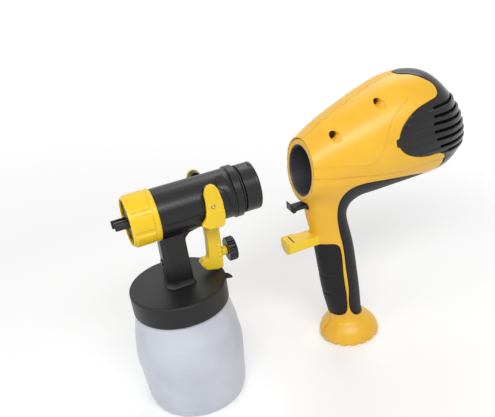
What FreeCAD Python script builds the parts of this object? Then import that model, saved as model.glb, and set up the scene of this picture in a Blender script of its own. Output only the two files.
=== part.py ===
import FreeCAD, Part
import math
import os

import Sketcher
from FreeCAD import Placement, Rotation, Vector

# Hand-held turbine paint sprayer in two halves: a spray head on a screw-on cup, and a turbine handle.
# Millimetres, +Z up, nozzle towards -X. The origin is the centre of the cup's flat base.
# The halves stand apart, as they do before docking, on one level and in line with each other.

doc = FreeCAD.newDocument("PaintSprayer")
sheet = doc.addObject("Spreadsheet::Sheet", "Dimensions")

DRIVING = {
    "axis_height": 222.0, "collar_end": 98.9, "rest_gap": 53.8,
    "tube_radius": 25.7, "tube_bore": 22.6, "collar_radius": 25.0, "collar_bore": 21.4, "collar_length": 19.5,
    "ridge_radius": 27.2, "ridge_width": 8.5,
    "nut_front": -37.4, "nut_rear": -9.2, "nut_radius": 27.0, "nut_mouth": 23.3, "nut_thread": 24.4,
    "neck_centre": 3.0, "neck_half": 12.0, "pivot_x": 44.4, "pivot_rise": 17.5, "pin_rise": 3.2,
    "fork_radius": 30.2, "fork_bore": 26.5, "bar_half": 5.5,
    "knob_drop": 64.0, "knob_radius": 13.0, "knob_front": 58.9, "knob_width": 9.0,
    "lid_radius": 51.3, "lid_top": 139.0, "skirt_bottom": 115.0, "thread_radius": 48.1, "lid_wall": 3.0,
    "cup_radius": 58.4, "cup_base": 52.0, "cup_wall": 1.8, "cup_clearance": 0.08,
    "body_length": 200.0, "body_half_height": 59.0, "body_half_width": 52.4, "body_rise": 16.4,
    "mouth_radius": 26.4, "sleeve_radius": 28.9, "mouth_rake": 8.5,
    "shell_wall": 4.0, "grip_skin": 1.8, "handle_half_depth": 23.0, "handle_half_width": 19.0,
    "foot_radius": 35.0, "foot_centre": 41.0, "arm_half": 10.6, "arm_top": 78.5, "arm_bottom": 88.5,
    "motor_rise": 9.0, "housing_radius": 39.0, "motor_radius": 27.0, "fan_radius": 34.0, "shaft_radius": 2.5,
}


class Size:
    """a length with its value and its formula in the sheet, so that plain arithmetic keeps both"""

    def __init__(self, value, text):
        self.value = float(value)
        self.text = text

    def _with(self, other, sign, value):
        return Size(value, "(%s %s %s)" % (self.text, sign, as_size(other).text))

    def __add__(self, other):
        return self._with(other, "+", self.value + as_size(other).value)

    def __sub__(self, other):
        return self._with(other, "-", self.value - as_size(other).value)

    def __mul__(self, other):
        return self._with(other, "*", self.value * as_size(other).value)

    def __truediv__(self, other):
        return self._with(other, "/", self.value / as_size(other).value)

    def __radd__(self, other):
        return as_size(other) + self

    def __rsub__(self, other):
        return as_size(other) - self

    def __rmul__(self, other):
        return as_size(other) * self

    def __neg__(self):
        return as_size(0.0) - self


def as_size(number):
    return number if isinstance(number, Size) else Size(number, "(%.6g)" % number)


class Driving:
    """the driving dimensions, each a cell of the sheet with an alias"""

    def __init__(self, values):
        for row, (name, value) in enumerate(values.items(), start=1):
            sheet.set("A%d" % row, name)
            sheet.set("B%d" % row, str(value))
            sheet.setAlias("B%d" % row, name)
            setattr(self, name, Size(value, "Dimensions." + name))


d = Driving(DRIVING)
doc.recompute()

ALONG = {
    "+X": Rotation(Vector(0, 1, 0), 90), "-X": Rotation(Vector(0, 1, 0), -90),
    "+Y": Rotation(Vector(1, 0, 0), -90), "-Y": Rotation(Vector(1, 0, 0), 90),
    "+Z": Rotation(), "-Z": Rotation(Vector(1, 0, 0), 180),
}
SIDE_VIEW = Rotation(Vector(1, 0, 0), 90)
nodes = []


def bind(thing, prop, size):
    thing.setExpression(prop, as_size(size).text)


def put(thing, at, turn=None):
    thing.Placement = Placement(Vector(0, 0, 0), turn or Rotation())
    for letter, size in zip("xyz", at):
        bind(thing, "Placement.Base." + letter, size)
    return thing


def node(thing, name):
    """names a finished sub-part and keeps it for export"""
    thing.Label = name
    nodes.append(thing)
    return thing


def rod(radius, length, at, along="+X"):
    solid = doc.addObject("Part::Cylinder", "rod")
    bind(solid, "Radius", radius)
    bind(solid, "Height", length)
    return put(solid, at, ALONG[along])


def cone(radius_1, radius_2, length, at, along="+X"):
    solid = doc.addObject("Part::Cone", "cone")
    bind(solid, "Radius1", radius_1)
    bind(solid, "Radius2", radius_2)
    bind(solid, "Height", length)
    return put(solid, at, ALONG[along])


def block(low, high, turn=None):
    """a box between two corners"""
    solid = doc.addObject("Part::Box", "block")
    for prop, a, b in zip(("Length", "Width", "Height"), low, high):
        bind(solid, prop, as_size(b) - a)
    return put(solid, low, turn)


def o_ring(radius, section, at, along="+X"):
    solid = doc.addObject("Part::Torus", "o_ring")
    bind(solid, "Radius1", radius)
    bind(solid, "Radius2", section)
    return put(solid, at, ALONG[along])


def join(*solids):
    whole = doc.addObject("Part::MultiFuse", "joined")
    whole.Shapes = list(solids)
    whole.Refine = True
    return whole


def group(solids):
    """separate solids that share one node"""
    whole = doc.addObject("Part::Compound", "group")
    whole.Links = list(solids)
    return whole


def cut(base, *tools):
    whole = doc.addObject("Part::Cut", "cut")
    whole.Base = base
    whole.Tool = tools[0] if len(tools) == 1 else join(*tools)
    return whole


def overlap(first, second):
    whole = doc.addObject("Part::Common", "overlap")
    whole.Base = first
    whole.Tool = second
    return whole


def tube(outer, bore, length, at, along="+X"):
    return cut(rod(outer, length, at, along), rod(bore, length, at, along))


def outline(sketch, points):
    """a closed outline of straight lines, each corner bound to the sheet"""
    flat = [Vector(as_size(a).value, as_size(b).value, 0) for a, b in points]
    count = len(flat)
    for i in range(count):
        sketch.addGeometry(Part.LineSegment(flat[i], flat[(i + 1) % count]), False)
    for i in range(count):
        sketch.addConstraint(Sketcher.Constraint("Coincident", i, 2, (i + 1) % count, 1))
    for i, pair in enumerate(points):
        for kind, size in zip(("DistanceX", "DistanceY"), pair):
            place = sketch.addConstraint(Sketcher.Constraint(kind, -1, 1, i, 1, as_size(size).value))
            sketch.setExpression("Constraints[%d]" % place, as_size(size).text)


def turned(points, at, about="X"):
    """a round piece from its half outline, given as (distance along the axis, radius)"""
    body = doc.addObject("PartDesign::Body", "turned")
    sketch = body.newObject("Sketcher::SketchObject", "Outline")
    plane = [f for f in body.Origin.OriginFeatures if f.Role == "XZ_Plane"][0]
    sketch.AttachmentSupport = [(plane, "")]
    sketch.MapMode = "FlatFace"
    outline(sketch, points if about == "X" else [(radius, along) for along, radius in points])
    turn = body.newObject("PartDesign::Revolution", "Turned")
    turn.Profile = sketch
    turn.ReferenceAxis = (sketch, ["H_Axis" if about == "X" else "V_Axis"])
    turn.Angle = 360
    body.Tip = turn
    return put(body, at)


def plate(points, low, high, across="Y"):
    """a prism: an outline in the side view across Y, in plan across Z, or in the front view across X"""
    sketch = doc.addObject("Sketcher::SketchObject", "Outline")
    turn = {"Y": SIDE_VIEW, "Z": Rotation(), "X": Rotation(Vector(0, 1, 0), Vector(0, 0, 1), Vector(1, 0, 0), "ZXY")}
    sketch.Placement = Placement(Vector(0, 0, 0), turn[across])
    outline(sketch, points)
    solid = doc.addObject("Part::Extrusion", "plate")
    solid.Base = sketch
    solid.DirMode = "Custom"
    solid.Dir = {"X": Vector(1, 0, 0), "Y": Vector(0, 1, 0), "Z": Vector(0, 0, 1)}[across]
    solid.Solid = True
    bind(solid, "LengthFwd", high)
    bind(solid, "LengthRev", -as_size(low))
    return solid


def side_region(edge, corners, low, high):
    """a prism across Y, bounded by a smooth edge through points and closed by straight corners"""
    curve = Part.BSplineCurve()
    curve.interpolate([Vector(x.value, 0, z.value) for x, z in edge])
    chain = [edge[-1]] + corners + [edge[0]]
    spots = [Vector(x.value, 0, z.value) for x, z in chain]
    edges = [curve.toShape()] + [Part.makeLine(a, b) for a, b in zip(spots, spots[1:])]
    face = Part.Face(Part.Wire(edges))
    solid = doc.addObject("Part::Feature", "region")
    prism = face.extrude(Vector(0, high - low, 0))
    prism.translate(Vector(0, low, 0))
    solid.Shape = prism
    return solid


def loft(stations, inset, upright=False):
    """a smooth hull through ellipses; a station is (along, centre, half size up or forward, half width)"""
    rings = []
    for along, centre, tall, wide in stations:
        ring = doc.addObject("Part::Ellipse", "station")
        long_way = tall.value >= wide.value
        bind(ring, "MajorRadius", (tall if long_way else wide) - inset)
        bind(ring, "MinorRadius", (wide if long_way else tall) - inset)
        if upright:
            major = Vector(1, 0, 0) if long_way else Vector(0, 1, 0)
            put(ring, (mouth_x + centre, 0, d.axis_height - along), Rotation(major, Vector(), Vector(0, 0, -1), "ZXY"))
        else:
            major = Vector(0, 0, 1) if long_way else Vector(0, 1, 0)
            put(ring, (mouth_x + along, 0, d.axis_height + centre), Rotation(major, Vector(), Vector(1, 0, 0), "ZXY"))
        rings.append(ring)
    hull = doc.addObject("Part::Loft", "hull")
    hull.Sections = rings
    hull.Solid = True
    hull.Ruled = False
    return hull


def spring(radius, wire, turns, length, at, along="+X"):
    coil = doc.addObject("Part::Helix", "coil")
    bind(coil, "Radius", radius)
    bind(coil, "Pitch", as_size(length) / turns)
    bind(coil, "Height", length)
    put(coil, at, ALONG[along])
    section = doc.addObject("Part::Circle", "wire")
    bind(section, "Radius", wire)
    local = Placement(Vector(as_size(radius).value, 0, 0), Rotation(Vector(1, 0, 0), 90))
    section.Placement = coil.Placement.multiply(local)
    doc.recompute()
    section.Placement = coil.Placement.multiply(local)
    swept = doc.addObject("Part::Sweep", "spring")
    swept.Sections = [section]
    swept.Spine = (coil, ["Edge%d" % (i + 1) for i in range(len(coil.Shape.Edges))])
    swept.Solid = True
    swept.Frenet = True
    return swept


# Reference places: the spray tube's axis, the face of the docking collar and the mouth of the turbine handle
axis = d.axis_height
collar_face = d.collar_end
collar_step = collar_face - d.collar_length
mouth_x = collar_face + d.rest_gap

# Spray body: the air tube with its nut spigot, the paint hub inside, and the neck that stands on the lid
SPIGOT_FRONT = -30.0
HUB_RADIUS, HUB_BORE, HUB_REAR = 6.5, 3.6, 12.0
SPOKE_HALF = 1.5
spigot_radius = d.nut_thread - 0.05
tube_shell = turned([(SPIGOT_FRONT, 19.5), (SPIGOT_FRONT, spigot_radius), (-10.2, spigot_radius), (-10.2, d.tube_radius),
                     (collar_step - d.ridge_width, d.tube_radius), (collar_step - d.ridge_width, d.ridge_radius),
                     (collar_step - 0.8, d.ridge_radius), (collar_step - 0.8, 23.4), (collar_step + 3.0, 23.4),
                     (collar_step + 3.0, d.tube_bore), (-6.0, d.tube_bore), (-9.0, 19.5)], (0, 0, axis))
spokes = [block((-8.0, -SPOKE_HALF, axis - 21.0), (6.0, SPOKE_HALF, axis + 21.0)),
          block((-8.0, -21.0, axis - SPOKE_HALF), (6.0, 21.0, axis + SPOKE_HALF))]
hub = rod(HUB_RADIUS, HUB_REAR - SPIGOT_FRONT, (SPIGOT_FRONT, 0, axis))
half = d.neck_half
facet = 5.0
neck_low = d.lid_top + 0.0
neck_plan = [(d.neck_centre - half + facet, -half), (d.neck_centre + half - 2.0, -half),
             (d.neck_centre + half, 2.0 - half), (d.neck_centre + half, half - 2.0),
             (d.neck_centre + half - 2.0, half), (d.neck_centre - half + facet, half),
             (d.neck_centre - half, half - facet), (d.neck_centre - half, facet - half)]
neck = plate(neck_plan, neck_low, axis - 21.0, "Z")
base_plan = [(d.neck_centre + (x - d.neck_centre) * 1.22, y * 1.22) for x, y in neck_plan]
neck_base = plate(base_plan, neck_low, neck_low + 2.6, "Z")
gusset_rear = plate([(d.neck_centre + half - 1.0, axis - 36.0), (d.neck_centre + half + 2.2, axis - 30.0),
                     (d.neck_centre + half + 7.0, axis - 26.0), (d.neck_centre + half + 14.0, axis - 24.0),
                     (d.neck_centre + half - 1.0, axis - 24.0)], -9.0, 9.0)
neck_spigot = rod(11.8, 13.0, (d.neck_centre, 0, d.lid_top - 12.9), "+Z")
riser = rod(6.0, 24.0, (d.neck_centre, 0, axis - 25.0), "+Z")
PIN_SLOT = 2.0
pin_slots = block((d.pivot_x - 2.6, -30.0, axis + d.pin_rise - PIN_SLOT), (d.pivot_x + 4.6, 30.0, axis + d.pin_rise + PIN_SLOT))
suction_bore = rod(4.05, 42.0, (d.neck_centre, 0, d.lid_top - 13.0), "+Z")
paint_way = rod(2.6, 60.0, (d.neck_centre, 0, axis - 58.0), "+Z")
hub_bore = rod(HUB_BORE, HUB_REAR - SPIGOT_FRONT, (SPIGOT_FRONT, 0, axis))
valve_port = rod(2.0, 8.0, (d.neck_centre - half - 1.0, 0, axis - 55.0))
spray_body = cut(join(tube_shell, *spokes, hub, neck, neck_base, gusset_rear, neck_spigot, riser),
                 pin_slots, suction_bore, paint_way, hub_bore, valve_port)
node(spray_body, "spray_body")

# Docking collar pressed on the rear of the tube, with two bayonet lugs on its rim
LUG_ANGLES = (6.0, 186.0)
collar = turned([(collar_step + 2.8, 23.45), (collar_step + 2.8, d.collar_radius), (collar_face - 0.8, d.collar_radius),
                 (collar_face, d.collar_radius - 0.8), (collar_face, d.collar_bore), (collar_step + 5.0, d.collar_bore),
                 (collar_step + 5.0, 22.65), (collar_step + 3.05, 22.65), (collar_step + 3.05, 23.45)], (0, 0, axis))
lugs = []
for angle in LUG_ANGLES:
    lug = block((collar_face - 4.2, -3.0, d.collar_radius - 1.0), (collar_face - 1.4, 3.0, d.collar_radius + 0.9))
    lug.Placement = Placement(Vector(0, 0, 0), Rotation(Vector(1, 0, 0), angle))
    turn = Rotation(Vector(1, 0, 0), angle)
    corner = turn.multVec(Vector(collar_face.value - 4.2, -3.0, d.collar_radius.value - 1.0))
    bind(lug, "Placement.Base.x", collar_face - 4.2)
    bind(lug, "Placement.Base.y", corner.y)
    bind(lug, "Placement.Base.z", axis + corner.z)
    lugs.append(lug)
node(join(collar, *lugs), "docking_collar")
node(o_ring(24.35, 0.9, (collar_step + 1.0, 0, axis)), "dock_seal")

# Union nut, air cap with its two horns, fluid nozzle and the needle that closes it
nut_ring = turned([(d.nut_front, d.nut_mouth), (d.nut_front, 25.1), (d.nut_front + 1.2, 25.7), (-13.6, d.nut_radius - 0.9),
                   (-12.2, d.nut_radius), (d.nut_rear - 0.8, d.nut_radius), (d.nut_rear, d.nut_radius - 0.8),
                   (d.nut_rear, 25.8), (-10.4, 25.8), (-10.4, d.nut_thread), (d.nut_front + 2.2, d.nut_thread),
                   (d.nut_front + 2.2, d.nut_mouth)], (0, 0, axis))
PADS = 8
PAD_START = 12.0
pads = []
for i in range(PADS):
    turn = Rotation(Vector(1, 0, 0), PAD_START + 360.0 * i / PADS)
    low = Vector(d.nut_front.value + 4.0, -6.6, 24.9)
    pad = block((low.x, low.y, low.z), (-14.6, 6.6, 26.9))
    pad.Placement = Placement(Vector(0, 0, 0), turn)
    corner = turn.multVec(low)
    bind(pad, "Placement.Base.x", d.nut_front + 4.0)
    bind(pad, "Placement.Base.y", corner.y)
    bind(pad, "Placement.Base.z", axis + corner.z)
    pads.append(pad)
node(join(nut_ring, *pads), "union_nut")

HORN_TILT = -25.0
HORN_REACH = 14.0
CAP_FACE = -34.6
cap_disc = turned([(CAP_FACE + 2.0, 24.3), (CAP_FACE + 4.5, 24.3), (CAP_FACE + 4.5, 9.0), (CAP_FACE + 2.6, 7.0),
                   (CAP_FACE + 2.6, 3.2), (CAP_FACE - 1.6, 3.2), (CAP_FACE - 1.6, 6.4), (CAP_FACE, 9.0),
                   (CAP_FACE, 22.6), (CAP_FACE + 0.6, 23.2), (CAP_FACE + 2.0, 23.2)], (0, 0, axis))
horn_side = [(CAP_FACE + 1.0, 5.6), (CAP_FACE + 1.0, 13.4), (CAP_FACE - HORN_REACH + 3.0, 12.2),
             (CAP_FACE - HORN_REACH, 10.4), (CAP_FACE - HORN_REACH, 7.8), (CAP_FACE - HORN_REACH + 4.5, 6.6)]
horns = []
for turn_angle in (-90.0 + HORN_TILT, 90.0 + HORN_TILT):
    horn = cut(plate(horn_side, -4.0, 4.0), rod(0.9, 4.0, (CAP_FACE - HORN_REACH + 3.2, 0, 5.0), "+Z"))
    horns.append(put(horn, (0, 0, axis), Rotation(Vector(1, 0, 0), turn_angle)))
node(join(cap_disc, *horns), "air_cap")

nozzle = turned([(SPIGOT_FRONT - 6.4, 1.25), (SPIGOT_FRONT - 6.4, 2.4), (SPIGOT_FRONT - 1.8, 2.9),
                 (SPIGOT_FRONT - 1.2, 6.0), (SPIGOT_FRONT - 0.8, 6.4), (SPIGOT_FRONT - 0.8, 2.3),
                 (SPIGOT_FRONT - 4.0, 1.9), (SPIGOT_FRONT - 5.2, 1.25)], (0, 0, axis))
node(nozzle, "fluid_nozzle")
node(tube(6.2, 3.6, 0.8, (SPIGOT_FRONT - 0.8, 0, axis)), "nozzle_seal")

NEEDLE_REAR = 56.0
needle = turned([(SPIGOT_FRONT - 6.6, 0.0), (SPIGOT_FRONT - 6.6, 0.3), (SPIGOT_FRONT - 5.2, 1.2),
                 (SPIGOT_FRONT - 4.4, 1.5), (NEEDLE_REAR, 1.5), (NEEDLE_REAR, 0.0)], (0, 0, axis))
node(needle, "needle")
node(tube(HUB_BORE, 1.55, 5.0, (HUB_REAR - 5.0, 0, axis)), "needle_packing")
gland = cut(rod(6.4, 4.0, (HUB_REAR, 0, axis)), rod(1.7, 4.0, (HUB_REAR, 0, axis)),
            block((HUB_REAR + 1.4, -0.8, axis + 3.6), (HUB_REAR + 4.0, 0.8, axis + 7.0)),
            block((HUB_REAR + 1.4, -0.8, axis - 7.0), (HUB_REAR + 4.0, 0.8, axis - 3.6)))
node(gland, "gland_nut")

carrier = cut(turned([(d.pivot_x - 6.0, 1.5), (d.pivot_x - 6.0, 5.0), (d.pivot_x - 4.0, 7.0), (d.pivot_x + 5.0, 7.0),
                      (d.pivot_x + 7.0, 4.0), (d.pivot_x + 7.0, 1.5)], (0, 0, axis)),
              rod(1.4, 20.0, (d.pivot_x, -10.0, axis + d.pin_rise), "+Y"))
node(carrier, "needle_carrier")
node(rod(1.4, 59.0, (d.pivot_x, -29.5, axis + d.pin_rise), "+Y"), "needle_cross_pin")
GUIDE_FRONT = 68.0
spring_length = GUIDE_FRONT - (d.pivot_x + 7.0)
node(spring(3.0, 0.45, 6, spring_length - 1.0, (d.pivot_x + 7.5, 0, axis)), "needle_spring")
guide_holes = []
for i in range(6):
    angle = math.radians(60.0 * i)
    guide_holes.append(rod(4.6, 4.0, (GUIDE_FRONT, 14.0 * math.sin(angle), axis + 14.0 * math.cos(angle))))
node(cut(rod(d.tube_bore, 4.0, (GUIDE_FRONT, 0, axis)), *guide_holes), "rear_guide")

# Trigger: a fork around the tube with a bar below it, hung on two stub pivots
FORK_FRONT, FORK_REAR = 35.9, 55.0
lobe = [(37.9, -2.0), (37.4, 16.0), (39.2, 22.6), (43.0, 26.6), (48.6, 26.6), (52.2, 22.8), (54.2, 17.0),
        (FORK_REAR, 8.0), (FORK_REAR, -2.0)]
lobe_at = [(x, axis + z) for x, z in lobe]
cheeks = [plate(lobe_at, d.fork_bore, d.fork_radius), plate(lobe_at, -d.fork_radius, -d.fork_bore)]
fork_ring = cut(rod(d.fork_radius, FORK_REAR - FORK_FRONT, (FORK_FRONT, 0, axis - 2.0)),
                rod(d.fork_bore, FORK_REAR - FORK_FRONT, (FORK_FRONT, 0, axis - 2.0)),
                block((FORK_FRONT - 1.0, -40.0, axis - 2.0), (FORK_REAR + 1.0, 40.0, axis + 40.0)))
bar_side = [(39.0, -31.0), (53.4, -31.0), (52.6, -45.0), (50.9, -64.0), (48.4, -80.6), (46.6, -81.0),
            (32.2, -77.4), (27.4, -69.4), (27.9, -66.4), (33.6, -66.0), (36.4, -61.0), (38.2, -45.0)]
bar = plate([(x, axis + z) for x, z in bar_side], -d.bar_half, d.bar_half)
boss = rod(5.0, d.knob_front - 0.4 - 49.0, (49.0, 0, axis - d.knob_drop))
pivot_holes = [rod(3.05, 2.6, (d.pivot_x, d.fork_bore - 0.2, axis + d.pivot_rise), "+Y"),
               rod(3.05, 2.6, (d.pivot_x, 0.2 - d.fork_bore, axis + d.pivot_rise), "-Y")]
pin_holes = rod(2.1, 70.0, (d.pivot_x, -35.0, axis + d.pin_rise), "+Y")
stem_hole = rod(2.05, 22.0, (42.0, 0, axis - d.knob_drop))
trigger = cut(join(*cheeks, fork_ring, bar, boss), *pivot_holes, pin_holes, stem_hole)
node(trigger, "trigger")
PIVOT_ROOT = 18.0
stub_outer = d.fork_bore + 2.2
stubs = [rod(3.0, stub_outer - PIVOT_ROOT, (d.pivot_x, PIVOT_ROOT, axis + d.pivot_rise), "+Y"),
         rod(3.0, stub_outer - PIVOT_ROOT, (d.pivot_x, -PIVOT_ROOT, axis + d.pivot_rise), "-Y")]
pad_rods = [rod(5.5, d.fork_bore - 0.3 - PIVOT_ROOT, (d.pivot_x, PIVOT_ROOT, axis + d.pivot_rise), "+Y"),
            rod(5.5, d.fork_bore - 0.3 - PIVOT_ROOT, (d.pivot_x, -PIVOT_ROOT, axis + d.pivot_rise), "-Y")]
node(cut(join(*stubs, *pad_rods), rod(d.tube_radius, 30.0, (d.pivot_x - 15.0, 0, axis))), "trigger_pivots")

# Flow knob behind the trigger bar, with the stop screw that it drives
FLUTES = 18
knob_disc = turned([(d.knob_front, 5.4), (d.knob_front, d.knob_radius - 0.8), (d.knob_front + 0.8, d.knob_radius),
                    (d.knob_front + d.knob_width - 1.4, d.knob_radius), (d.knob_front + d.knob_width, d.knob_radius - 1.8),
                    (d.knob_front + d.knob_width, 2.05), (d.knob_front + 2.4, 2.05), (d.knob_front + 2.4, 5.4)],
                   (0, 0, axis - d.knob_drop))
flutes = []
for i in range(FLUTES):
    angle = 2.0 * math.pi * i / FLUTES
    reach = d.knob_radius + 0.55
    flutes.append(rod(1.25, d.knob_width + 2.0, (d.knob_front - 1.0, reach * math.sin(angle),
                                                axis - d.knob_drop + reach * math.cos(angle))))
node(cut(knob_disc, *flutes), "flow_knob")
node(rod(2.0, 26.0, (44.0, 0, axis - d.knob_drop)), "flow_stop")

# Cup lid with its seal, retaining ring and lift tab; cup, suction tube and the valve that airs the cup
lid_shell = turned([(d.lid_top, 0.0), (d.lid_top, d.lid_radius - 3.0), (d.lid_top - 0.9, d.lid_radius - 0.9),
                    (d.lid_top - 3.0, d.lid_radius), (d.skirt_bottom, d.lid_radius), (d.skirt_bottom, d.thread_radius),
                    (d.lid_top - d.lid_wall, d.thread_radius), (d.lid_top - d.lid_wall, 0.0)], (0, 0, 0), "Z")
TAB_ANGLE = -18.0
TAB_REACH = 58.0
tab = plate([(44.0, -5.2), (TAB_REACH - 1.4, -3.6), (TAB_REACH, 0.0), (TAB_REACH - 1.4, 3.6), (44.0, 5.2)],
            d.lid_top - 2.8, d.lid_top - 0.6, "Z")
put(tab, (0, 0, 0), Rotation(Vector(0, 0, 1), TAB_ANGLE))
node(cut(join(lid_shell, tab), rod(11.85, 10.0, (d.neck_centre, 0, d.lid_top - 6.0), "+Z")), "cup_lid")
node(tube(17.0, 11.8, 4.0, (d.neck_centre, 0, d.lid_top - d.lid_wall - 4.0), "+Z"), "lid_ring")
seal_top = d.lid_top - d.lid_wall
node(tube(d.thread_radius - 0.1, 43.0, 1.5, (0, 0, seal_top - 1.5), "+Z"), "cup_seal")

cup_neck = d.thread_radius - d.cup_clearance
neck_top = seal_top - 1.5
cup = turned([(0.0, 0.0), (0.0, d.cup_base - 2.0), (2.0, d.cup_base), (7.0, d.cup_base + 2.0), (62.0, d.cup_radius),
              (72.0, d.cup_radius - 0.2), (109.0, 50.8), (114.6, cup_neck), (neck_top, cup_neck),
              (neck_top, cup_neck - 2.2), (112.4, cup_neck - 2.2), (107.6, 50.8 - d.cup_wall),
              (72.0, d.cup_radius - 0.2 - d.cup_wall), (62.0, d.cup_radius - d.cup_wall),
              (8.0, d.cup_base + 2.0 - d.cup_wall), (3.4, d.cup_base - 1.4 - d.cup_wall), (2.2, d.cup_base - 4.0),
              (2.2, 0.0)], (0, 0, 0), "Z")
node(cup, "cup")

TUBE_BEND, TUBE_FOOT, TUBE_REACH = 62.0, 9.0, 30.0


def suction_shape(radius):
    """a tube down the cup that bends forward to the edge of its base"""
    top = Vector(d.neck_centre.value, 0, d.lid_top.value + 26.0)
    knee = Vector(d.neck_centre.value, 0, TUBE_BEND)
    foot = Vector(d.neck_centre.value - TUBE_REACH, 0, TUBE_FOOT)
    down, out = Vector(0, 0, -1), (foot - knee).normalize()
    turn = down.getAngle(out)
    bend = 30.0
    back = bend * math.tan(turn / 2.0)
    start, end = knee - down * back, knee + out * back
    centre = start + Vector(-bend, 0, 0)
    middle = centre + (knee - centre).normalize() * bend
    path = Part.Wire([Part.makeLine(top, start), Part.Arc(start, middle, end).toShape(), Part.makeLine(end, foot)])
    ring = Part.Wire([Part.makeCircle(radius, top, down)])
    return path.makePipeShell([ring], True, False)


suction = doc.addObject("Part::Feature", "suction")
suction.Shape = suction_shape(4.0).cut(suction_shape(3.0))
node(suction, "suction_tube")
node(turned([(d.neck_centre - half - 3.4, 0.0), (d.neck_centre - half - 3.4, 2.8), (d.neck_centre - half - 2.6, 3.8),
             (d.neck_centre - half, 3.8), (d.neck_centre - half, 1.9), (d.neck_centre - half + 4.0, 1.9),
             (d.neck_centre - half + 4.0, 0.0)], (0, 0, axis - 55.0)), "air_valve")

# Turbine handle: the outer hull is one smooth body on a raked handle with a domed foot
BODY = [(-7.0, 0.000, 0.540, 0.600), (6.0, 0.030, 0.585, 0.655), (17.0, 0.122, 0.676, 0.712), (42.0, 0.360, 0.814, 0.824),
        (66.0, 0.561, 0.903, 0.905), (91.0, 0.787, 0.956, 0.957), (116.0, 0.951, 0.995, 0.993), (140.0, 0.976, 0.993, 0.993),
        (159.0, 0.829, 0.947, 0.948), (172.0, 0.640, 0.864, 0.865), (182.0, 0.427, 0.746, 0.745), (190.0, 0.183, 0.600, 0.594),
        (196.0, -0.060, 0.430, 0.420), (200.0, -0.220, 0.235, 0.225)]
HANDLE = [(26.0, 36.0, 1.60, 1.45), (40.0, 33.0, 1.42, 1.30), (49.0, 28.4, 1.17, 1.13), (58.0, 26.0, 1.02, 1.03),
          (70.0, 26.6, 0.98, 0.98), (92.0, 30.0, 0.99, 0.98), (130.0, 33.0, 1.00, 1.00), (168.0, 35.6, 0.95, 1.00),
          (190.0, 37.6, 0.86, 0.98), (199.0, 38.6, 0.83, 0.98)]
FOOT = [(196.0, 0.58), (200.0, 0.64), (205.0, 0.80), (211.0, 0.925), (217.0, 0.985), (222.0, 1.0)]


def body_stations():
    return [(d.body_length * (x / 200.0), d.body_rise * rise, d.body_half_height * tall, d.body_half_width * wide)
            for x, rise, tall, wide in BODY]


def handle_stations():
    return [(as_size(drop), as_size(centre), d.handle_half_depth * deep, d.handle_half_width * wide)
            for drop, centre, deep, wide in HANDLE]


def foot_stations():
    return [(as_size(drop), d.foot_centre - 1.4 * (222.0 - drop) / 26.0, d.foot_radius * part, d.foot_radius * part)
            for drop, part in FOOT]


def mouth(x, z):
    """a place given from the mouth's centre"""
    return (mouth_x + x, axis + z)


arm_outer = block((mouth_x - 17.5, -d.arm_half, axis - d.arm_bottom), (mouth_x + 12.0, d.arm_half, axis - d.arm_top))
hull = join(loft(body_stations(), 0.0), loft(handle_stations(), 0.0, True), loft(foot_stations(), 0.0, True))
under_skin = join(loft(body_stations(), d.grip_skin), loft(handle_stations(), d.grip_skin, True),
                  loft(foot_stations(), d.grip_skin, True))
skin = cut(hull, under_skin)

# Rear cover edge in the side view, from the crest down to the belly
COVER_EDGE = [(116.0, 84.0), (124.0, 76.4), (136.0, 72.6), (146.0, 68.0), (150.8, 62.0), (148.0, 57.8), (138.0, 55.2),
              (127.0, 53.2), (116.0, 49.4), (105.0, 42.6), (96.4, 33.6), (92.4, 24.3), (92.4, 16.6), (96.4, 9.8),
              (103.8, 4.0), (116.0, -1.2), (129.0, -3.4), (142.0, -4.4), (149.2, -9.0), (151.6, -17.0),
              (150.6, -30.0), (150.0, -58.0)]
FAR = 230.0
SLACK = 0.35


def cover_region(shift):
    edge = [mouth(x + shift, z) for x, z in COVER_EDGE]
    bulk = side_region(edge, [mouth(FAR, -58.0), mouth(FAR, 84.0)], -80.0, 80.0)
    clip = block((mouth_x + 88.8 + shift, -80.0, axis + 14.6 + shift), (mouth_x + 97.0, 80.0, axis + 24.0 - shift))
    return join(bulk, clip)


# Front grip: the soft pad around the front of the handle. Rear grip: the back strap, swept up under the belly
FRONT_GRIP = [(35.0, -88.0), (18.0, -86.5), (27.0, -91.5), (30.2, -99.0), (30.4, -122.0), (31.4, -150.0), (32.4, -180.0),
              (29.0, -189.0), (14.0, -191.5)]
REAR_GRIP = [(156.0, -50.0), (142.0, -36.0), (123.0, -28.0), (98.0, -23.2), (72.0, -18.9), (58.0, -17.2), (48.0, -17.8),
             (39.2, -21.0), (33.4, -28.0), (30.6, -38.0), (29.6, -50.0), (30.2, -64.0), (31.6, -80.0), (34.0, -100.0),
             (34.6, -124.0), (35.8, -160.0), (36.4, -186.0)]
front_edge = [mouth(x, z) for x, z in FRONT_GRIP[2:7]]
front_region = side_region(front_edge, [mouth(28.0, -190.0), mouth(-10.0, -193.0), mouth(-10.0, -89.5)], -40.0, 40.0)
rear_edge = [mouth(x, z) for x, z in REAR_GRIP]
rear_region = side_region(rear_edge, [mouth(70.0, -194.0), mouth(70.0, -72.0), mouth(156.0, -60.0)], -60.0, 60.0)
grip_pad = cut(overlap(skin, front_region), arm_outer)
rear_grip = node(cut(overlap(skin, rear_region), cover_region(-SLACK)), "rear_grip")

mouth_rake = Rotation(Vector(0, 1, 0), d.mouth_rake.value)
rake_cut = block((0, 0, 0), (60.0, 120.0, 120.0))
rake_corner = mouth_rake.multVec(Vector(-60.0, -60.0, -60.0))
rake_cut.Placement = Placement(Vector(0, 0, 0), mouth_rake)
bind(rake_cut, "Placement.Base.x", mouth_x + rake_corner.x)
bind(rake_cut, "Placement.Base.y", rake_corner.y)
bind(rake_cut, "Placement.Base.z", axis + rake_corner.z)

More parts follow.
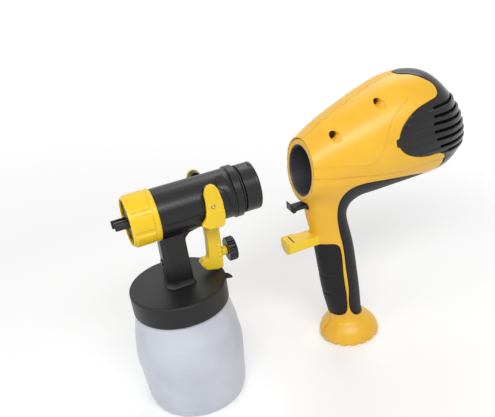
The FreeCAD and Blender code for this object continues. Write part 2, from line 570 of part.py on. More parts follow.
inner_body = overlap(loft(body_stations(), d.shell_wall), block((mouth_x + 8.0, -80.0, 0), (mouth_x + 230.0, 80.0, 400.0)))
inner_handle = overlap(loft(handle_stations(), d.shell_wall, True),
                       block((mouth_x - 20.0, -60.0, axis - 196.0), (mouth_x + 90.0, 60.0, axis - 20.0)))
inner_foot = rod(23.0, 14.0, (mouth_x + d.foot_centre, 0, 0), "+Z")
cord_slot = block((0, -4.5, -1.0), (40.0, 4.5, 8.0), Rotation(Vector(0, 0, 1), 50.0))
put(cord_slot, (mouth_x + d.foot_centre + 3.4, -2.9, -1.0), Rotation(Vector(0, 0, 1), 50.0))
gland_hole = rod(7.9, 20.0, (mouth_x + d.foot_centre, 0, 10.0), "+Z")
notches = []
NOTCHES = 18
for i in range(NOTCHES):
    angle = 360.0 * i / NOTCHES
    turn = Rotation(Vector(0, 0, 1), angle)
    low = turn.multVec(Vector(32.4, -2.2, 0))
    notch = block((0, 0, 0), (6.0, 4.4, 3.0))
    put(notch, (mouth_x + d.foot_centre + low.x, low.y, -1.0), turn)
    notches.append(notch)

# Screw wells in the left half, over bosses that both halves share
SCREWS = [(31.5, 38.2, 17.0), (84.4, 59.9, 14.0), (24.0, -104.0, 9.0)]
BOSS_RADIUS, WELL_RADIUS, SHANK, HEAD = 6.2, 4.7, 1.6, 3.6
bosses, wells, pilots, screws = [], [], [], []
for x, z, depth in SCREWS:
    spot_x, spot_z = mouth(x, z)
    bosses.append(rod(BOSS_RADIUS, 80.0, (spot_x, -40.0, spot_z), "+Y"))
    wells.append(rod(WELL_RADIUS, 40.0, (spot_x, -depth, spot_z), "-Y"))
    pilots.append(rod(SHANK, depth + 9.0, (spot_x, -depth - 1.0, spot_z), "+Y"))
    screws.append(join(rod(HEAD, 2.4, (spot_x, -depth, spot_z), "-Y"), rod(SHANK, depth + 7.6, (spot_x, -depth, spot_z), "+Y")))
boss_parts = overlap(hull, join(*bosses))
node(cut(grip_pad, wells[2]), "front_grip")

# Ribs that hold the turbine housing, and the arm with its channel
inner_zone = loft(body_stations(), d.shell_wall - 0.5)
rib_slabs = join(block((mouth_x + 68.0, -70.0, axis - 60.0), (mouth_x + 70.5, 70.0, axis + 90.0)),
                 block((mouth_x + 84.0, -70.0, axis - 60.0), (mouth_x + 86.5, 70.0, axis + 90.0)))
ribs = cut(overlap(inner_zone, rib_slabs), rod(d.housing_radius, 60.0, (mouth_x + 50.0, 0, axis + d.motor_rise)),
           join(*wells))
channel = block((mouth_x - 18.0, -4.8, axis - 86.2), (mouth_x + 16.0, 4.8, axis - 81.8))
latch_slot = block((mouth_x - 12.0, -6.5, axis - 46.0), (mouth_x + 14.0, 6.5, axis - 36.0))
latch_pin_hole = rod(1.5, 22.0, (mouth_x + 8.0, -11.0, axis - 41.0), "+Y")
latch_cheeks = overlap(hull, join(block((mouth_x - 2.0, -11.0, axis - 48.0), (mouth_x + 14.0, -6.5, axis - 34.0)),
                                  block((mouth_x - 2.0, 6.5, axis - 48.0), (mouth_x + 14.0, 11.0, axis - 34.0))))
walls = cut(join(hull, arm_outer), join(inner_body, inner_handle))
sleeve_bore = rod(d.sleeve_radius, 60.0, (mouth_x - 15.0, 0, axis))
casing = cut(join(walls, cut(boss_parts, sleeve_bore), ribs, latch_cheeks), rake_cut, sleeve_bore,
             grip_pad, rear_grip, cover_region(0.0), inner_foot, cord_slot, gland_hole, channel, latch_slot,
             latch_pin_hole, join(*notches), join(*wells), join(*pilots))
left_space = block((mouth_x - 60.0, -90.0, -5.0), (mouth_x + 260.0, 0.0, 400.0))
right_space = block((mouth_x - 60.0, 0.0, -5.0), (mouth_x + 260.0, 90.0, 400.0))
node(overlap(casing, left_space), "shell_left")
node(overlap(casing, right_space), "shell_right")
node(group(screws), "shell_screws")

# Rear cover with its air slots, and the foam filter behind it
SLOTS = 8
SLOT_PITCH, SLOT_HALF = 8.6, 1.7
slots = []
for i in range(SLOTS):
    level = axis + d.body_rise * 0.55 + SLOT_PITCH * (i - 3.6)
    slots.append(block((mouth_x + 157.0, -80.0, level - SLOT_HALF), (mouth_x + 184.0, 80.0, level + SLOT_HALF)))
cover_shell = cut(hull, overlap(loft(body_stations(), 2.8), block((mouth_x + 60.0, -80.0, 0), (mouth_x + 195.5, 80.0, 400.0))))
rear_cover = cut(overlap(cover_shell, cover_region(SLACK)), *slots)
node(rear_cover, "rear_cover")
node(rod(33.0, 9.0, (mouth_x + 160.0, 0, axis + d.motor_rise)), "intake_filter")

# Docking sleeve, outlet screen and the duct from the turbine
sleeve = turned([(-12.0, d.mouth_radius), (-12.0, d.sleeve_radius), (40.0, d.sleeve_radius), (40.0, 24.0), (37.0, 24.0),
                 (34.0, d.mouth_radius)], (mouth_x, 0, axis))
sleeve_rake = block((0, 0, 0), (60.0, 120.0, 120.0))
sleeve_rake.Placement = Placement(Vector(0, 0, 0), mouth_rake)
bind(sleeve_rake, "Placement.Base.x", mouth_x + rake_corner.x + 0.5)
bind(sleeve_rake, "Placement.Base.y", rake_corner.y)
bind(sleeve_rake, "Placement.Base.z", axis + rake_corner.z)
node(cut(sleeve, sleeve_rake), "docking_sleeve")
screen_holes = [rod(3.0, 2.0, (mouth_x + 28.0, 0, axis))]
for ring_radius, count in ((9.0, 6), (17.5, 12)):
    for i in range(count):
        angle = 2.0 * math.pi * i / count
        screen_holes.append(rod(3.0, 2.0, (mouth_x + 28.0, ring_radius * math.sin(angle), axis + ring_radius * math.cos(angle))))
node(cut(rod(d.mouth_radius, 2.0, (mouth_x + 28.0, 0, axis)), *screen_holes), "outlet_screen")


def round_loft(length, front_radius, rear_radius):
    """a round hull from the sleeve's rear up to the turbine's front"""
    rings = []
    for x, rise, radius in ((0.0, 0.0, front_radius), (length, d.motor_rise, rear_radius)):
        ring = doc.addObject("Part::Circle", "ring")
        bind(ring, "Radius", radius)
        put(ring, (mouth_x + 40.0 + x, 0, axis + rise), ALONG["+X"])
        rings.append(ring)
    hollow = doc.addObject("Part::Loft", "duct")
    hollow.Sections = rings
    hollow.Solid = True
    return hollow


node(cut(round_loft(14.0, 26.5, 27.5), round_loft(14.0, 24.0, 25.0)), "air_duct")

# Turbine: housing, fan wheel on the motor's shaft, and the motor with its bearings
motor_axis = axis + d.motor_rise
front = mouth_x + 54.0
housing = turned([(0.0, 25.0), (0.0, d.housing_radius), (38.0, d.housing_radius), (38.0, d.motor_radius),
                  (35.6, d.motor_radius), (35.6, 12.0), (33.4, 12.0), (33.4, d.housing_radius - 2.4),
                  (2.4, d.housing_radius - 2.4), (2.4, 25.0)], (front, 0, motor_axis))
intake_holes = []
for i in range(8):
    angle = 2.0 * math.pi * i / 8
    intake_holes.append(rod(4.5, 8.0, (front + 32.0, 19.0 * math.sin(angle), motor_axis + 19.0 * math.cos(angle))))
node(cut(housing, *intake_holes), "turbine_housing")

fan_disc = turned([(6.0, d.shaft_radius), (6.0, 8.0), (9.0, 8.0), (26.0, 10.0), (26.0, d.fan_radius), (28.0, d.fan_radius),
                   (28.0, d.shaft_radius)], (front, 0, motor_axis))
blades = []
BLADES = 14
for i in range(BLADES):
    angle = 360.0 * i / BLADES
    turn = Rotation(Vector(1, 0, 0), angle)
    blade = block((0, 0, 0), (14.6, 1.2, d.fan_radius - 10.4))
    low = turn.multVec(Vector(0.0, 5.0, 9.9))
    put(blade, (front + 11.6, low.y, motor_axis + low.z), turn)
    blades.append(blade)
node(join(fan_disc, *blades), "fan_wheel")
node(rod(d.shaft_radius, 96.0, (front + 4.0, 0, motor_axis)), "motor_shaft")
armature = turned([(50.0, d.shaft_radius), (50.0, 16.0), (80.0, 16.0), (80.0, 8.0), (89.0, 8.0), (89.0, d.shaft_radius)],
                  (front, 0, motor_axis))
node(armature, "armature")
can = turned([(35.8, 8.1), (35.8, d.motor_radius - 0.1), (92.0, d.motor_radius - 0.1), (92.0, d.motor_radius - 1.6),
              (43.0, d.motor_radius - 1.6), (43.0, 8.1)], (front, 0, motor_axis))
node(can, "motor_can")
magnets = cut(tube(d.motor_radius - 1.6, 17.2, 32.0, (front + 48.0, 0, motor_axis)),
              block((front + 47.0, -30.0, motor_axis - 6.0), (front + 81.0, 30.0, motor_axis + 6.0)))
node(magnets, "field_magnets")
end_cap = turned([(92.0, 8.1), (92.0, d.motor_radius - 0.1), (96.0, d.motor_radius - 2.0), (99.0, 12.0), (99.0, 8.1)],
                 (front, 0, motor_axis))
node(end_cap, "motor_end_cap")
node(tube(8.1, d.shaft_radius + 0.03, 5.0, (front + 36.8, 0, motor_axis)), "front_bearing")
node(tube(8.1, d.shaft_radius + 0.03, 5.0, (front + 93.0, 0, motor_axis)), "rear_bearing")
brushes = [block((front + 82.0, -2.5, motor_axis + 8.1), (front + 87.0, 2.5, motor_axis + 22.0)),
           block((front + 82.0, -2.5, motor_axis - 22.0), (front + 87.0, 2.5, motor_axis - 8.1))]
node(group(brushes), "carbon_brushes")
node(tube(d.motor_radius + 3.2, d.motor_radius, 5.0, (front + 38.0, 0, motor_axis)), "motor_cushion")

# Switch slider at the arm's tip, its spring, and the motor switch in the handle
block_face = [(-d.arm_half, axis - d.arm_top), (-d.arm_half, axis - 87.6), (-4.5, axis - 92.0), (4.5, axis - 92.0),
              (d.arm_half, axis - 87.6), (d.arm_half, axis - d.arm_top)]
slider_head = plate(block_face, mouth_x - 27.5, mouth_x - 20.5, "X")
slider_rod = block((mouth_x - 21.0, -4.4, axis - 86.0), (mouth_x + 11.0, 4.4, axis - 82.0))
node(join(slider_head, slider_rod), "switch_slider")
node(spring(1.7, 0.3, 5, 6.0, (mouth_x + 11.4, 0, axis - 84.0)), "slider_spring")
node(block((mouth_x + 18.0, -7.0, axis - 93.0), (mouth_x + 38.0, 7.0, axis - 78.0)), "motor_switch")

# Latch tongue below the mouth, on its pin, with a leaf spring behind it
tongue = plate([mouth(x, z) for x, z in [(-17.4, -33.6), (-15.2, -34.2), (-14.0, -38.0), (12.4, -38.0), (12.4, -44.0),
                                         (4.0, -44.0), (1.0, -42.4), (-11.5, -42.4), (-13.0, -44.4), (-15.6, -44.4),
                                         (-17.6, -42.0)]], -6.0, 6.0)
node(cut(tongue, rod(1.55, 14.0, (mouth_x + 8.0, -7.0, axis - 41.0), "+Y")), "latch_tongue")
node(rod(1.5, 21.6, (mouth_x + 8.0, -10.8, axis - 41.0), "+Y"), "latch_pin")
leaf = plate([mouth(x, z) for x, z in [(13.2, -40.6), (14.0, -40.6), (14.0, -47.2), (20.4, -52.0), (19.8, -52.8),
                                       (13.2, -47.8)]], -4.0, 4.0)
node(leaf, "latch_spring")

# Cord gland in the roof of the hollow under the foot
node(cut(rod(7.8, 12.0, (mouth_x + d.foot_centre, 0, 14.2), "+Z"), rod(3.6, 12.0, (mouth_x + d.foot_centre, 0, 14.2), "+Z")),
     "cord_gland")

doc.recompute()

failed = [thing.Label for thing in doc.Objects if {"Invalid", "Error"} & set(thing.State)]
for thing in nodes:
    if thing.Shape.isNull() or not thing.Shape.isValid() or not thing.Shape.Solids:
        failed.append(thing.Label)
if failed:
    raise RuntimeError("failed: " + ", ".join(sorted(set(failed))))

os.makedirs("parts", exist_ok=True)
for thing in nodes:
    thing.Shape.exportStep("parts/%s.step" % thing.Label)
    box = thing.Shape.BoundBox
    print("%-18s solids %d  volume %9.0f  x %7.1f %7.1f  y %6.1f %6.1f  z %6.1f %6.1f" % (
        thing.Label, len(thing.Shape.Solids), thing.Shape.Volume, box.XMin, box.XMax, box.YMin, box.YMax,
        box.ZMin, box.ZMax))
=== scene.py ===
import math

import bpy
import numpy as np
from mathutils import Matrix, Vector


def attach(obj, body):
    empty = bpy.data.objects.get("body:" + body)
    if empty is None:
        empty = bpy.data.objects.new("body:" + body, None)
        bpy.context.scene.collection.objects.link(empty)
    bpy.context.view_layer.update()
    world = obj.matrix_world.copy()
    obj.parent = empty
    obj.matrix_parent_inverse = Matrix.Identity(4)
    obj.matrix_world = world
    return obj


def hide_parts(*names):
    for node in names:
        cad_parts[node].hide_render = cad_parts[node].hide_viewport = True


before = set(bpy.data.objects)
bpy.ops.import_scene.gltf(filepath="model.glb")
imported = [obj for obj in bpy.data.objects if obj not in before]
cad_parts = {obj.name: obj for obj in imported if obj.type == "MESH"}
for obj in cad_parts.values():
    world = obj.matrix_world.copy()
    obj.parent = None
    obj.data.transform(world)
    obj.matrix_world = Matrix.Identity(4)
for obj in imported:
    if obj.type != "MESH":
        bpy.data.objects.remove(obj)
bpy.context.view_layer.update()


# Turbine handle's two shells. Glass-smooth tools and a finely etched mould give yellow ABS its satin grain.
# The body swells from the round mouth to the turbine and closes at the rear; the grip and its foot hang below.
# Sizes here and in the sections below are millimetres from the mouth's centre, or from the spray axis over the cup.
MOUTH_X = 152.7
AXIS_Z = 222.0


def hex_colour(text):
    """an sRGB hex value as the linear colour that Blender works in"""
    parts = [int(text[i:i + 2], 16) / 255.0 for i in (1, 3, 5)]
    return [p / 12.92 if p <= 0.04045 else ((p + 0.055) / 1.055) ** 2.4 for p in parts] + [1.0]


def add_node(tree, kind, inputs=(), **settings):
    """adds a node with its settings, and links or sets what feeds each input"""
    new = tree.nodes.new("ShaderNode" + kind)
    for name, value in settings.items():
        setattr(new, name, value)
    for name, source in dict(inputs).items():
        if isinstance(source, bpy.types.NodeSocket):
            tree.links.new(source, new.inputs[name])
        else:
            new.inputs[name].default_value = source
    return new


def blank_material(name):
    material = bpy.data.materials.new(name)
    material.use_nodes = True
    material.node_tree.nodes.clear()
    return material, material.node_tree


def colour_ramp(tree, value, low, low_colour, high, high_colour):
    """a ramp of value between two hex colours"""
    ramp = add_node(tree, "ValToRGB", {"Fac": value})
    for element, place, colour in zip(ramp.color_ramp.elements, (low, high), (low_colour, high_colour)):
        element.position = place
        element.color = hex_colour(colour)
    return ramp.outputs["Color"]


def moulded_plastic(name, colour, shade, roughness, grain_mm, grain_depth_mm, ior=1.5, coat=0.0, spread=0.08):
    """moulded plastic: colour clouds softly into shade, and the etched grain breaks up the gloss"""
    material, tree = blank_material(name)
    place = add_node(tree, "TexCoord").outputs["Object"]
    clouds = add_node(tree, "TexNoise", {"Vector": place, "Scale": 38.0, "Detail": 3.0, "Roughness": 0.5})
    tint = colour_ramp(tree, clouds.outputs["Fac"], 0.30, shade, 0.70, colour)
    grain = add_node(tree, "TexNoise", {"Vector": place, "Scale": 1000.0 / grain_mm, "Detail": 2.0, "Roughness": 0.6})
    dull = add_node(tree, "MapRange", {"Value": grain.outputs["Fac"], "From Min": 0.3, "From Max": 0.7,
                                       "To Min": roughness - spread, "To Max": roughness + spread})
    bump = add_node(tree, "Bump", {"Height": grain.outputs["Fac"], "Strength": 0.55,
                                   "Distance": grain_depth_mm / 1000.0})
    shader = add_node(tree, "BsdfPrincipled", {"Base Color": tint, "Roughness": dull.outputs["Result"],
                                               "Normal": bump.outputs["Normal"], "IOR": ior, "Coat Weight": coat,
                                               "Coat Roughness": 0.25})
    add_node(tree, "OutputMaterial", {"Surface": shader.outputs["BSDF"]})
    return material


# ABS refracts at about 1.53; the etch is about 0.3 mm across, drawn at 0.9 mm so that it shows
YELLOW_ABS = moulded_plastic("etched_yellow_abs", "#FCC42D", "#F8BC29", 0.33, 0.9, 0.022, 1.53, spread=0.05)


def line_through(points, count):
    """samples of the natural cubic spline through points"""
    points = np.array(points, float)
    reach = np.concatenate([[0.0], np.cumsum(np.linalg.norm(np.diff(points, axis=0), axis=1))])
    gaps = np.diff(reach)
    last = len(reach) - 1
    system = np.zeros((last + 1, last + 1))
    system[0, 0] = system[last, last] = 1.0
    pull = np.zeros_like(points)
    for i in range(1, last):
        system[i, i - 1:i + 2] = gaps[i - 1], 2.0 * (gaps[i - 1] + gaps[i]), gaps[i]
        pull[i] = 6.0 * ((points[i + 1] - points[i]) / gaps[i] - (points[i] - points[i - 1]) / gaps[i - 1])
    bend = np.linalg.solve(system, pull)
    at = np.linspace(0.0, reach[-1], count)
    k = np.clip(np.searchsorted(reach, at, side="right") - 1, 0, last - 1)
    left, right, gap = (at - reach[k])[:, None], (reach[k + 1] - at)[:, None], gaps[k][:, None]
    return ((bend[k] * right ** 3 + bend[k + 1] * left ** 3) / (6.0 * gap)
            + (points[k] / gap - bend[k] * gap / 6.0) * right + (points[k + 1] / gap - bend[k + 1] * gap / 6.0) * left)


# Along the body: place, rise of the middle, half height, half width
BODY = line_through([(-9, -0.1, 31.3, 30.9), (-2, 0.1, 32.6, 32.3), (6, 0.5, 34.9, 34.3), (17, 2.0, 39.6, 37.6),
                     (42, 5.9, 48.0, 43.2), (66, 9.5, 53.8, 47.4), (91, 14.2, 58.1, 50.1), (116, 17.7, 60.9, 52.0),
                     (140, 18.0, 60.2, 52.0), (157, 15.8, 56.2, 49.7), (168, 12.9, 49.4, 45.0), (176, 10.2, 42.2, 39.6),
                     (183, 6.7, 33.7, 32.0), (188.5, 3.0, 24.5, 23.5), (192.4, 0.0, 15.4, 15.0),
                     (194.6, -1.8, 7.6, 7.6), (195.0, -2.0, 0.5, 0.5)], 500)
# Down the grip: height, middle, half depth, half width
GRIP = line_through([(-14, 38, 40, 29.5), (-26, 36.5, 37.6, 27.8), (-38, 33.5, 32.9, 25.0), (-48, 29.0, 27.4, 21.8),
                     (-58, 26.2, 23.8, 19.7), (-70, 26.7, 22.5, 18.7), (-92, 30.0, 22.8, 18.7),
                     (-130, 33.0, 23.0, 19.0), (-168, 35.6, 21.9, 19.0), (-190, 37.6, 19.9, 18.6),
                     (-204, 39.0, 19.0, 18.4)], 300)[::-1]
# Down the foot: height, middle, radius
FOOT = line_through([(-192, 39.0, 17.0), (-197.5, 39.6, 20.2), (-201.5, 39.9, 24.6), (-206, 40.2, 29.2),
                     (-211, 40.5, 32.6), (-217, 40.8, 34.6), (-224, 41.0, 35.2)], 200)[::-1]
FOOT_MIDDLE = 41.0
# The angle between the 18 notches round the foot's edge
NOTCH_PITCH = 2.0 * math.pi / 18.0


def swell(a, b, blend):
    """two forms grown together with a fillet"""
    mix = np.clip(0.5 + 0.5 * (b - a) / blend, 0.0, 1.0)
    return b + (a - b) * mix - blend * mix * (1.0 - mix)


def carve(a, b, blend):
    """form a with form b cut out of it, its edge softened"""
    return -swell(-a, b, blend)


def rounded_box(p, middle, half, radius):
    far = np.abs(p - np.array(middle, float)) - (np.array(half, float) - radius)
    return np.linalg.norm(np.maximum(far, 0.0), axis=-1) + np.minimum(far.max(axis=-1), 0.0) - radius


def oval_gap(across, along_other, half_a, half_b):
    return (np.sqrt((across / half_a) ** 2 + (along_other / half_b) ** 2) - 1.0) * np.minimum(half_a, half_b)


def handle_form(p):
    """how far a point lies outside the whole handle, near enough"""
    x, y, z = p[..., 0], p[..., 1], p[..., 2]
    middle, tall, wide = (np.interp(x, BODY[:, 0], BODY[:, i]) for i in (1, 2, 3))
    body = np.maximum(oval_gap(y, z - middle, wide, tall), x - 195.0)
    middle, deep, wide = (np.interp(z, GRIP[:, 0], GRIP[:, i]) for i in (1, 2, 3))
    grip = np.maximum(oval_gap(x - middle, y, deep, wide), z + 14.0)
    middle, radius = (np.interp(z, FOOT[:, 0], FOOT[:, i]) for i in (1, 2))
    foot = np.maximum(np.hypot(x - middle, y) - radius, z + 192.0)
    arm = rounded_box(p, (-2.0, 0.0, -83.4), (15.3, 10.6, 4.9), 1.3)
    whole = swell(swell(swell(body, grip, 9.0), foot, 4.0), arm, 2.5)
    whole = carve(whole, z + 221.95, 1.6)
    reach, turn = np.hypot(x - FOOT_MIDDLE, y), np.arctan2(y, x - FOOT_MIDDLE)
    notch = np.abs((turn + NOTCH_PITCH / 2.0) % NOTCH_PITCH - NOTCH_PITCH / 2.0) * reach - 2.1
    whole = carve(whole, np.maximum(np.maximum(notch, z + 219.4), 30.5 - reach), 0.6)
    return carve(whole, np.maximum(reach - 23.0, z + 208.0), 1.0)


def skin_over(form, low, high, step, settle=4):
    """a closed skin of triangles where form is zero: a point in each cell that it crosses, pulled onto it"""
    lines = [np.arange(a, b + step, step) for a, b in zip(low, high)]
    solid = np.empty([len(line) for line in lines], bool)
    for i, x in enumerate(lines[0]):
        sheet = np.stack(np.meshgrid([x], lines[1], lines[2], indexing="ij"), -1)
        solid[i] = form(sheet)[0] < 0.0
    near = [slice(0, -1), slice(1, None)]
    count = sum(solid[a, b, c].astype(np.int8) for a in near for b in near for c in near)
    crossed = (count > 0) & (count < 8)
    number = np.full(crossed.shape, -1)
    number[crossed] = np.arange(crossed.sum())
    points = (np.argwhere(crossed) + 0.5) * step + np.array([line[0] for line in lines])
    quads = []
    for way in range(3):
        turned_solid = np.moveaxis(solid, way, 0)
        turned_number = np.moveaxis(number, way, 0)
        change = turned_solid[1:, 1:-1, 1:-1] != turned_solid[:-1, 1:-1, 1:-1]
        i, j, k = np.nonzero(change)
        corners = np.stack([turned_number[i, j, k], turned_number[i, j + 1, k],
                            turned_number[i, j + 1, k + 1], turned_number[i, j, k + 1]], -1)
        outward = turned_solid[i, j + 1, k + 1] ^ (way == 1)
        quads.append(np.where(outward[:, None], corners, corners[:, ::-1]))
    quads = np.concatenate(quads)
    ends = np.concatenate([quads[:, [0, 1]], quads[:, [1, 2]], quads[:, [2, 3]], quads[:, [3, 0]]])
    share = np.bincount(ends.ravel(), minlength=len(points))
    for turn in range(settle):
        pulled = np.stack([np.bincount(ends[:, 0], points[ends[:, 1], c], len(points))
                           + np.bincount(ends[:, 1], points[ends[:, 0], c], len(points)) for c in range(3)], -1)
        points = 0.5 * points + 0.5 * pulled / share[:, None]
        for again in range(2 if turn < settle - 1 else 4):
            value = form(points)
            slope = slope_of(form, points)
            length = np.maximum((slope ** 2).sum(-1), 0.05)
            points = points - slope * np.clip(value / length, -step, step)[:, None]
    return points, np.concatenate([quads[:, [0, 1, 2]], quads[:, [0, 2, 3]]])


def slope_of(form, points, nudge=0.05):
    return np.stack([form(points + nudge * axis) - form(points - nudge * axis) for axis in np.eye(3)], -1) / (2 * nudge)


def outward_of(form, points):
    slope = slope_of(form, points)
    return slope / np.maximum(np.linalg.norm(slope, axis=1), 1e-9)[:, None]


def part_line(points, triangles, level, drop=True):
    """splits triangles along level = 0, a value for each point, and drops the side below; points carry extra columns"""
    up = level >= 0.0
    count = up[triangles].sum(1)
    whole, none, mixed = triangles[count == 3], triangles[count == 0], triangles[(count == 1) | (count == 2)]
    lone = up[mixed] == (up[mixed].sum(1) == 1)[:, None]
    first = lone.argmax(1)
    rows = np.arange(len(mixed))
    a, b, c = (mixed[rows, (first + i) % 3] for i in range(3))
    pairs = np.sort(np.concatenate([np.stack([a, b], 1), np.stack([a, c], 1)]), axis=1)
    unique, back = np.unique(pairs, axis=0, return_inverse=True)
    back = back.ravel()
    share = (level[unique[:, 0]] / (level[unique[:, 0]] - level[unique[:, 1]]))[:, None]
    fresh = points[unique[:, 0]] * (1.0 - share) + points[unique[:, 1]] * share
    ab, ac = back[:len(mixed)] + len(points), back[len(mixed):] + len(points)
    points = np.concatenate([points, fresh])
    tip = np.stack([a, ab, ac], 1)
    base = np.concatenate([np.stack([ab, b, c], 1), np.stack([ab, c, ac], 1)])
    tip_up = up[a]
    kept = [whole, tip[tip_up], base[np.concatenate([~tip_up, ~tip_up])]]
    if not drop:
        kept += [none, tip[~tip_up], base[np.concatenate([tip_up, tip_up])]]
    triangles = np.concatenate(kept)
    used, triangles = np.unique(triangles, return_inverse=True)
    return points[used], triangles.reshape(-1, 3)


def side_outline(points, corners, count=90):
    """a closed outline in the side view: a smooth line through points, closed by straight corners"""
    return np.concatenate([line_through(points, count), np.array(corners, float).reshape(-1, 2)])


def depth_in(u, v, outline):
    """how deep a flat point lies in a closed outline; negative outside"""
    near = np.full(u.shape, 1e9)
    within = np.zeros(u.shape, bool)
    for (au, av), (bu, bv) in zip(outline, np.roll(outline, -1, axis=0)):
        run, rise = bu - au, bv - av
        along = np.clip(((u - au) * run + (v - av) * rise) / max(run * run + rise * rise, 1e-12), 0.0, 1.0)
        near = np.minimum(near, np.hypot(u - au - along * run, v - av - along * rise))
        if abs(rise) > 1e-9:
            within ^= ((av > v) != (bv > v)) & (u < au + (v - av) * run / rise)
    return np.where(within, near, -near)


def inside(points, outline):
    """how deep a point of the skin lies in an outline of the side view"""
    return depth_in(points[:, 0], points[:, 2], outline)


# The borders of the black pieces in the side view
COVER_LINE = [(108.0, 92.0), (113.0, 83.0), (118.0, 79.4), (125.0, 78.3), (132.0, 77.0), (138.0, 74.4), (143.4, 71.0),
              (149.2, 64.8), (148.6, 58.6), (138.0, 54.6), (127.0, 52.6), (116.0, 49.2), (105.0, 42.4), (96.6, 33.8),
              (92.6, 24.4), (92.6, 16.4), (96.6, 9.6), (104.0, 3.8), (116.0, -1.2), (129.0, -3.6), (141.0, -4.2),
              (148.6, -7.8), (151.6, -15.0), (151.0, -28.0), (150.4, -60.0)]
REAR_GRIP_LINE = [(158.0, -52.0), (142.0, -37.0), (123.0, -28.4), (98.0, -23.2), (72.0, -18.9), (58.0, -17.2),
                  (47.5, -17.8), (38.6, -21.4), (33.2, -28.6), (30.6, -38.0), (29.6, -50.0), (30.2, -64.0),
                  (31.8, -80.0), (34.0, -98.0), (34.8, -124.0), (35.8, -156.0), (36.8, -184.0), (42.0, -191.0),
                  (50.0, -193.5), (70.0, -195.0)]
FRONT_GRIP_LINE = [(-12.0, -88.9), (14.0, -88.9), (23.0, -89.8), (28.4, -93.4), (30.6, -100.0), (31.2, -124.0),
                   (32.0, -150.0), (32.6, -176.0), (29.6, -185.4), (20.0, -188.6), (-12.0, -190.5)]
cover_outline = side_outline(COVER_LINE, [(260.0, -60.0), (260.0, 86.0)])
rear_grip_outline = side_outline(REAR_GRIP_LINE, [(110.0, -195.0), (158.0, -60.0)])
front_grip_outline = side_outline(FRONT_GRIP_LINE, [])

skin, skin_triangles = skin_over(handle_form, (-24.0, -55.0, -224.0), (203.0, 55.0, 82.0), 1.15)
# The skin's points carry more columns: how deep each lies in the cover, the rear and the front grip, how far behind the
# mouth's plane, which leans back, and how far from the seam, which steps sideways three times on the crest
COVER, REAR, FRONT, MOUTH, SEAM = range(3, 8)
MOUTH_LEAN, LEAN_COSINE = 0.149, 0.989
STEPS = [(62.0, 70.0), (75.0, 83.0), (88.0, 95.0)]
seam_shift = sum(np.clip(np.minimum(skin[:, 0] - a, b - skin[:, 0]) / 0.8, 0.0, 1.0) for a, b in STEPS)
seam_shift = np.where(skin[:, 2] > 0.0, 2.2 * seam_shift, 0.0)
clip_notch = rounded_box(skin * [1, 0, 1], (95.0, 0.0, 20.6), (5.6, 1.0, 4.6), 0.9)
skin = np.column_stack([skin, np.maximum(inside(skin, cover_outline), -clip_notch), inside(skin, rear_grip_outline),
                        inside(skin, front_grip_outline), (skin[:, 0] - MOUTH_LEAN * skin[:, 2]) * LEAN_COSINE,
                        skin[:, 1] - seam_shift])


def lip(depth, radius):
    """how far the surface drops at a depth inside its border, so that the edge is rounded"""
    short = np.clip(radius - depth, 0.0, radius)
    return radius - np.sqrt(radius * radius - short * short)


def in_metres(points, origin=(MOUTH_X, 0.0, AXIS_Z)):
    return (np.asarray(points, float)[:, :3] + np.array(origin)) / 1000.0


def make_piece(name, points, faces, material, body, stands_for=(), smooth_angle=40.0):
    """a mesh object from points in metres, which rides on its body in place of the plain CAD nodes"""
    mesh = bpy.data.meshes.new(name)
    mesh.from_pydata(np.asarray(points).tolist(), [], [list(map(int, face)) for face in faces])
    mesh.validate()
    mesh.update()
    piece = bpy.data.objects.new(name, mesh)
    bpy.context.scene.collection.objects.link(piece)
    mesh.materials.append(material)
    mesh.shade_smooth()
    mesh.set_sharp_from_angle(angle=math.radians(smooth_angle))
    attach(piece, body)
    if stands_for:
        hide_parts(*stands_for)
    return piece


def cut_panel(name, border, material, body, stands_for, radius=0.9, wall=2.2, shape=None, bands=()):
    """a panel of the handle's skin: trimmed where border is zero, edge rounded, face shaped, then given a wall"""
    points, triangles = part_line(skin, skin_triangles, border(skin))
    for level in (0.14, 0.42, 1.0):
        points, triangles = part_line(points, triangles, border(points) - level * radius, drop=False)
    for band in bands:
        points, triangles = part_line(points, triangles, band(points), drop=False)
    outward = outward_of(handle_form, points[:, :3])
    drop = lip(border(points), radius)
    if shape:
        drop = drop - shape(points)
    places = points[:, :3] - outward * drop[:, None]
    piece = make_piece(name, in_metres(places), triangles, material, body, stands_for, 55.0)
    tidy = piece.modifiers.new("tidy", "WELD")
    tidy.merge_threshold = 0.00004
    thick = piece.modifiers.new("wall", "SOLIDIFY")
    thick.thickness = wall / 1000.0
    thick.offset = -1.0
    return piece


# Screw wells in the left shell as place along, height and depth
SCREW_WELLS = [(31.5, 38.2, 17.0), (84.4, 59.9, 14.0)]
WELL_RADIUS = 4.7
TONGUE_SLOT = ((2.0, 0.0, -41.0), (12.0, 6.9, 4.6))
HALF_SEAM = 0.34
PANEL_LINE = side_outline([(-60.0, 15.6), (-6.0, 12.8), (12.0, 11.6), (32.8, 9.7), (50.0, 6.6), (61.6, 5.6),
                           (69.5, 11.3), (75.6, 21.0), (80.5, 32.0), (88.0, 43.0), (98.0, 52.0), (110.0, 58.6),
                           (120.0, 64.4), (126.0, 73.0), (127.0, 90.0)], [(127.0, 160.0), (-60.0, 160.0)], 90)
CREASE_LINE = side_outline([(-60.0, 8.0), (-8.0, 2.4), (3.5, 0.9), (20.0, -1.8), (37.0, -4.4), (70.0, -9.9),
                            (94.0, -13.4), (118.0, -13.2), (136.0, -12.4), (152.0, -14.0), (240.0, -22.0)],
                           [(240.0, -400.0), (-60.0, -400.0)], 90)


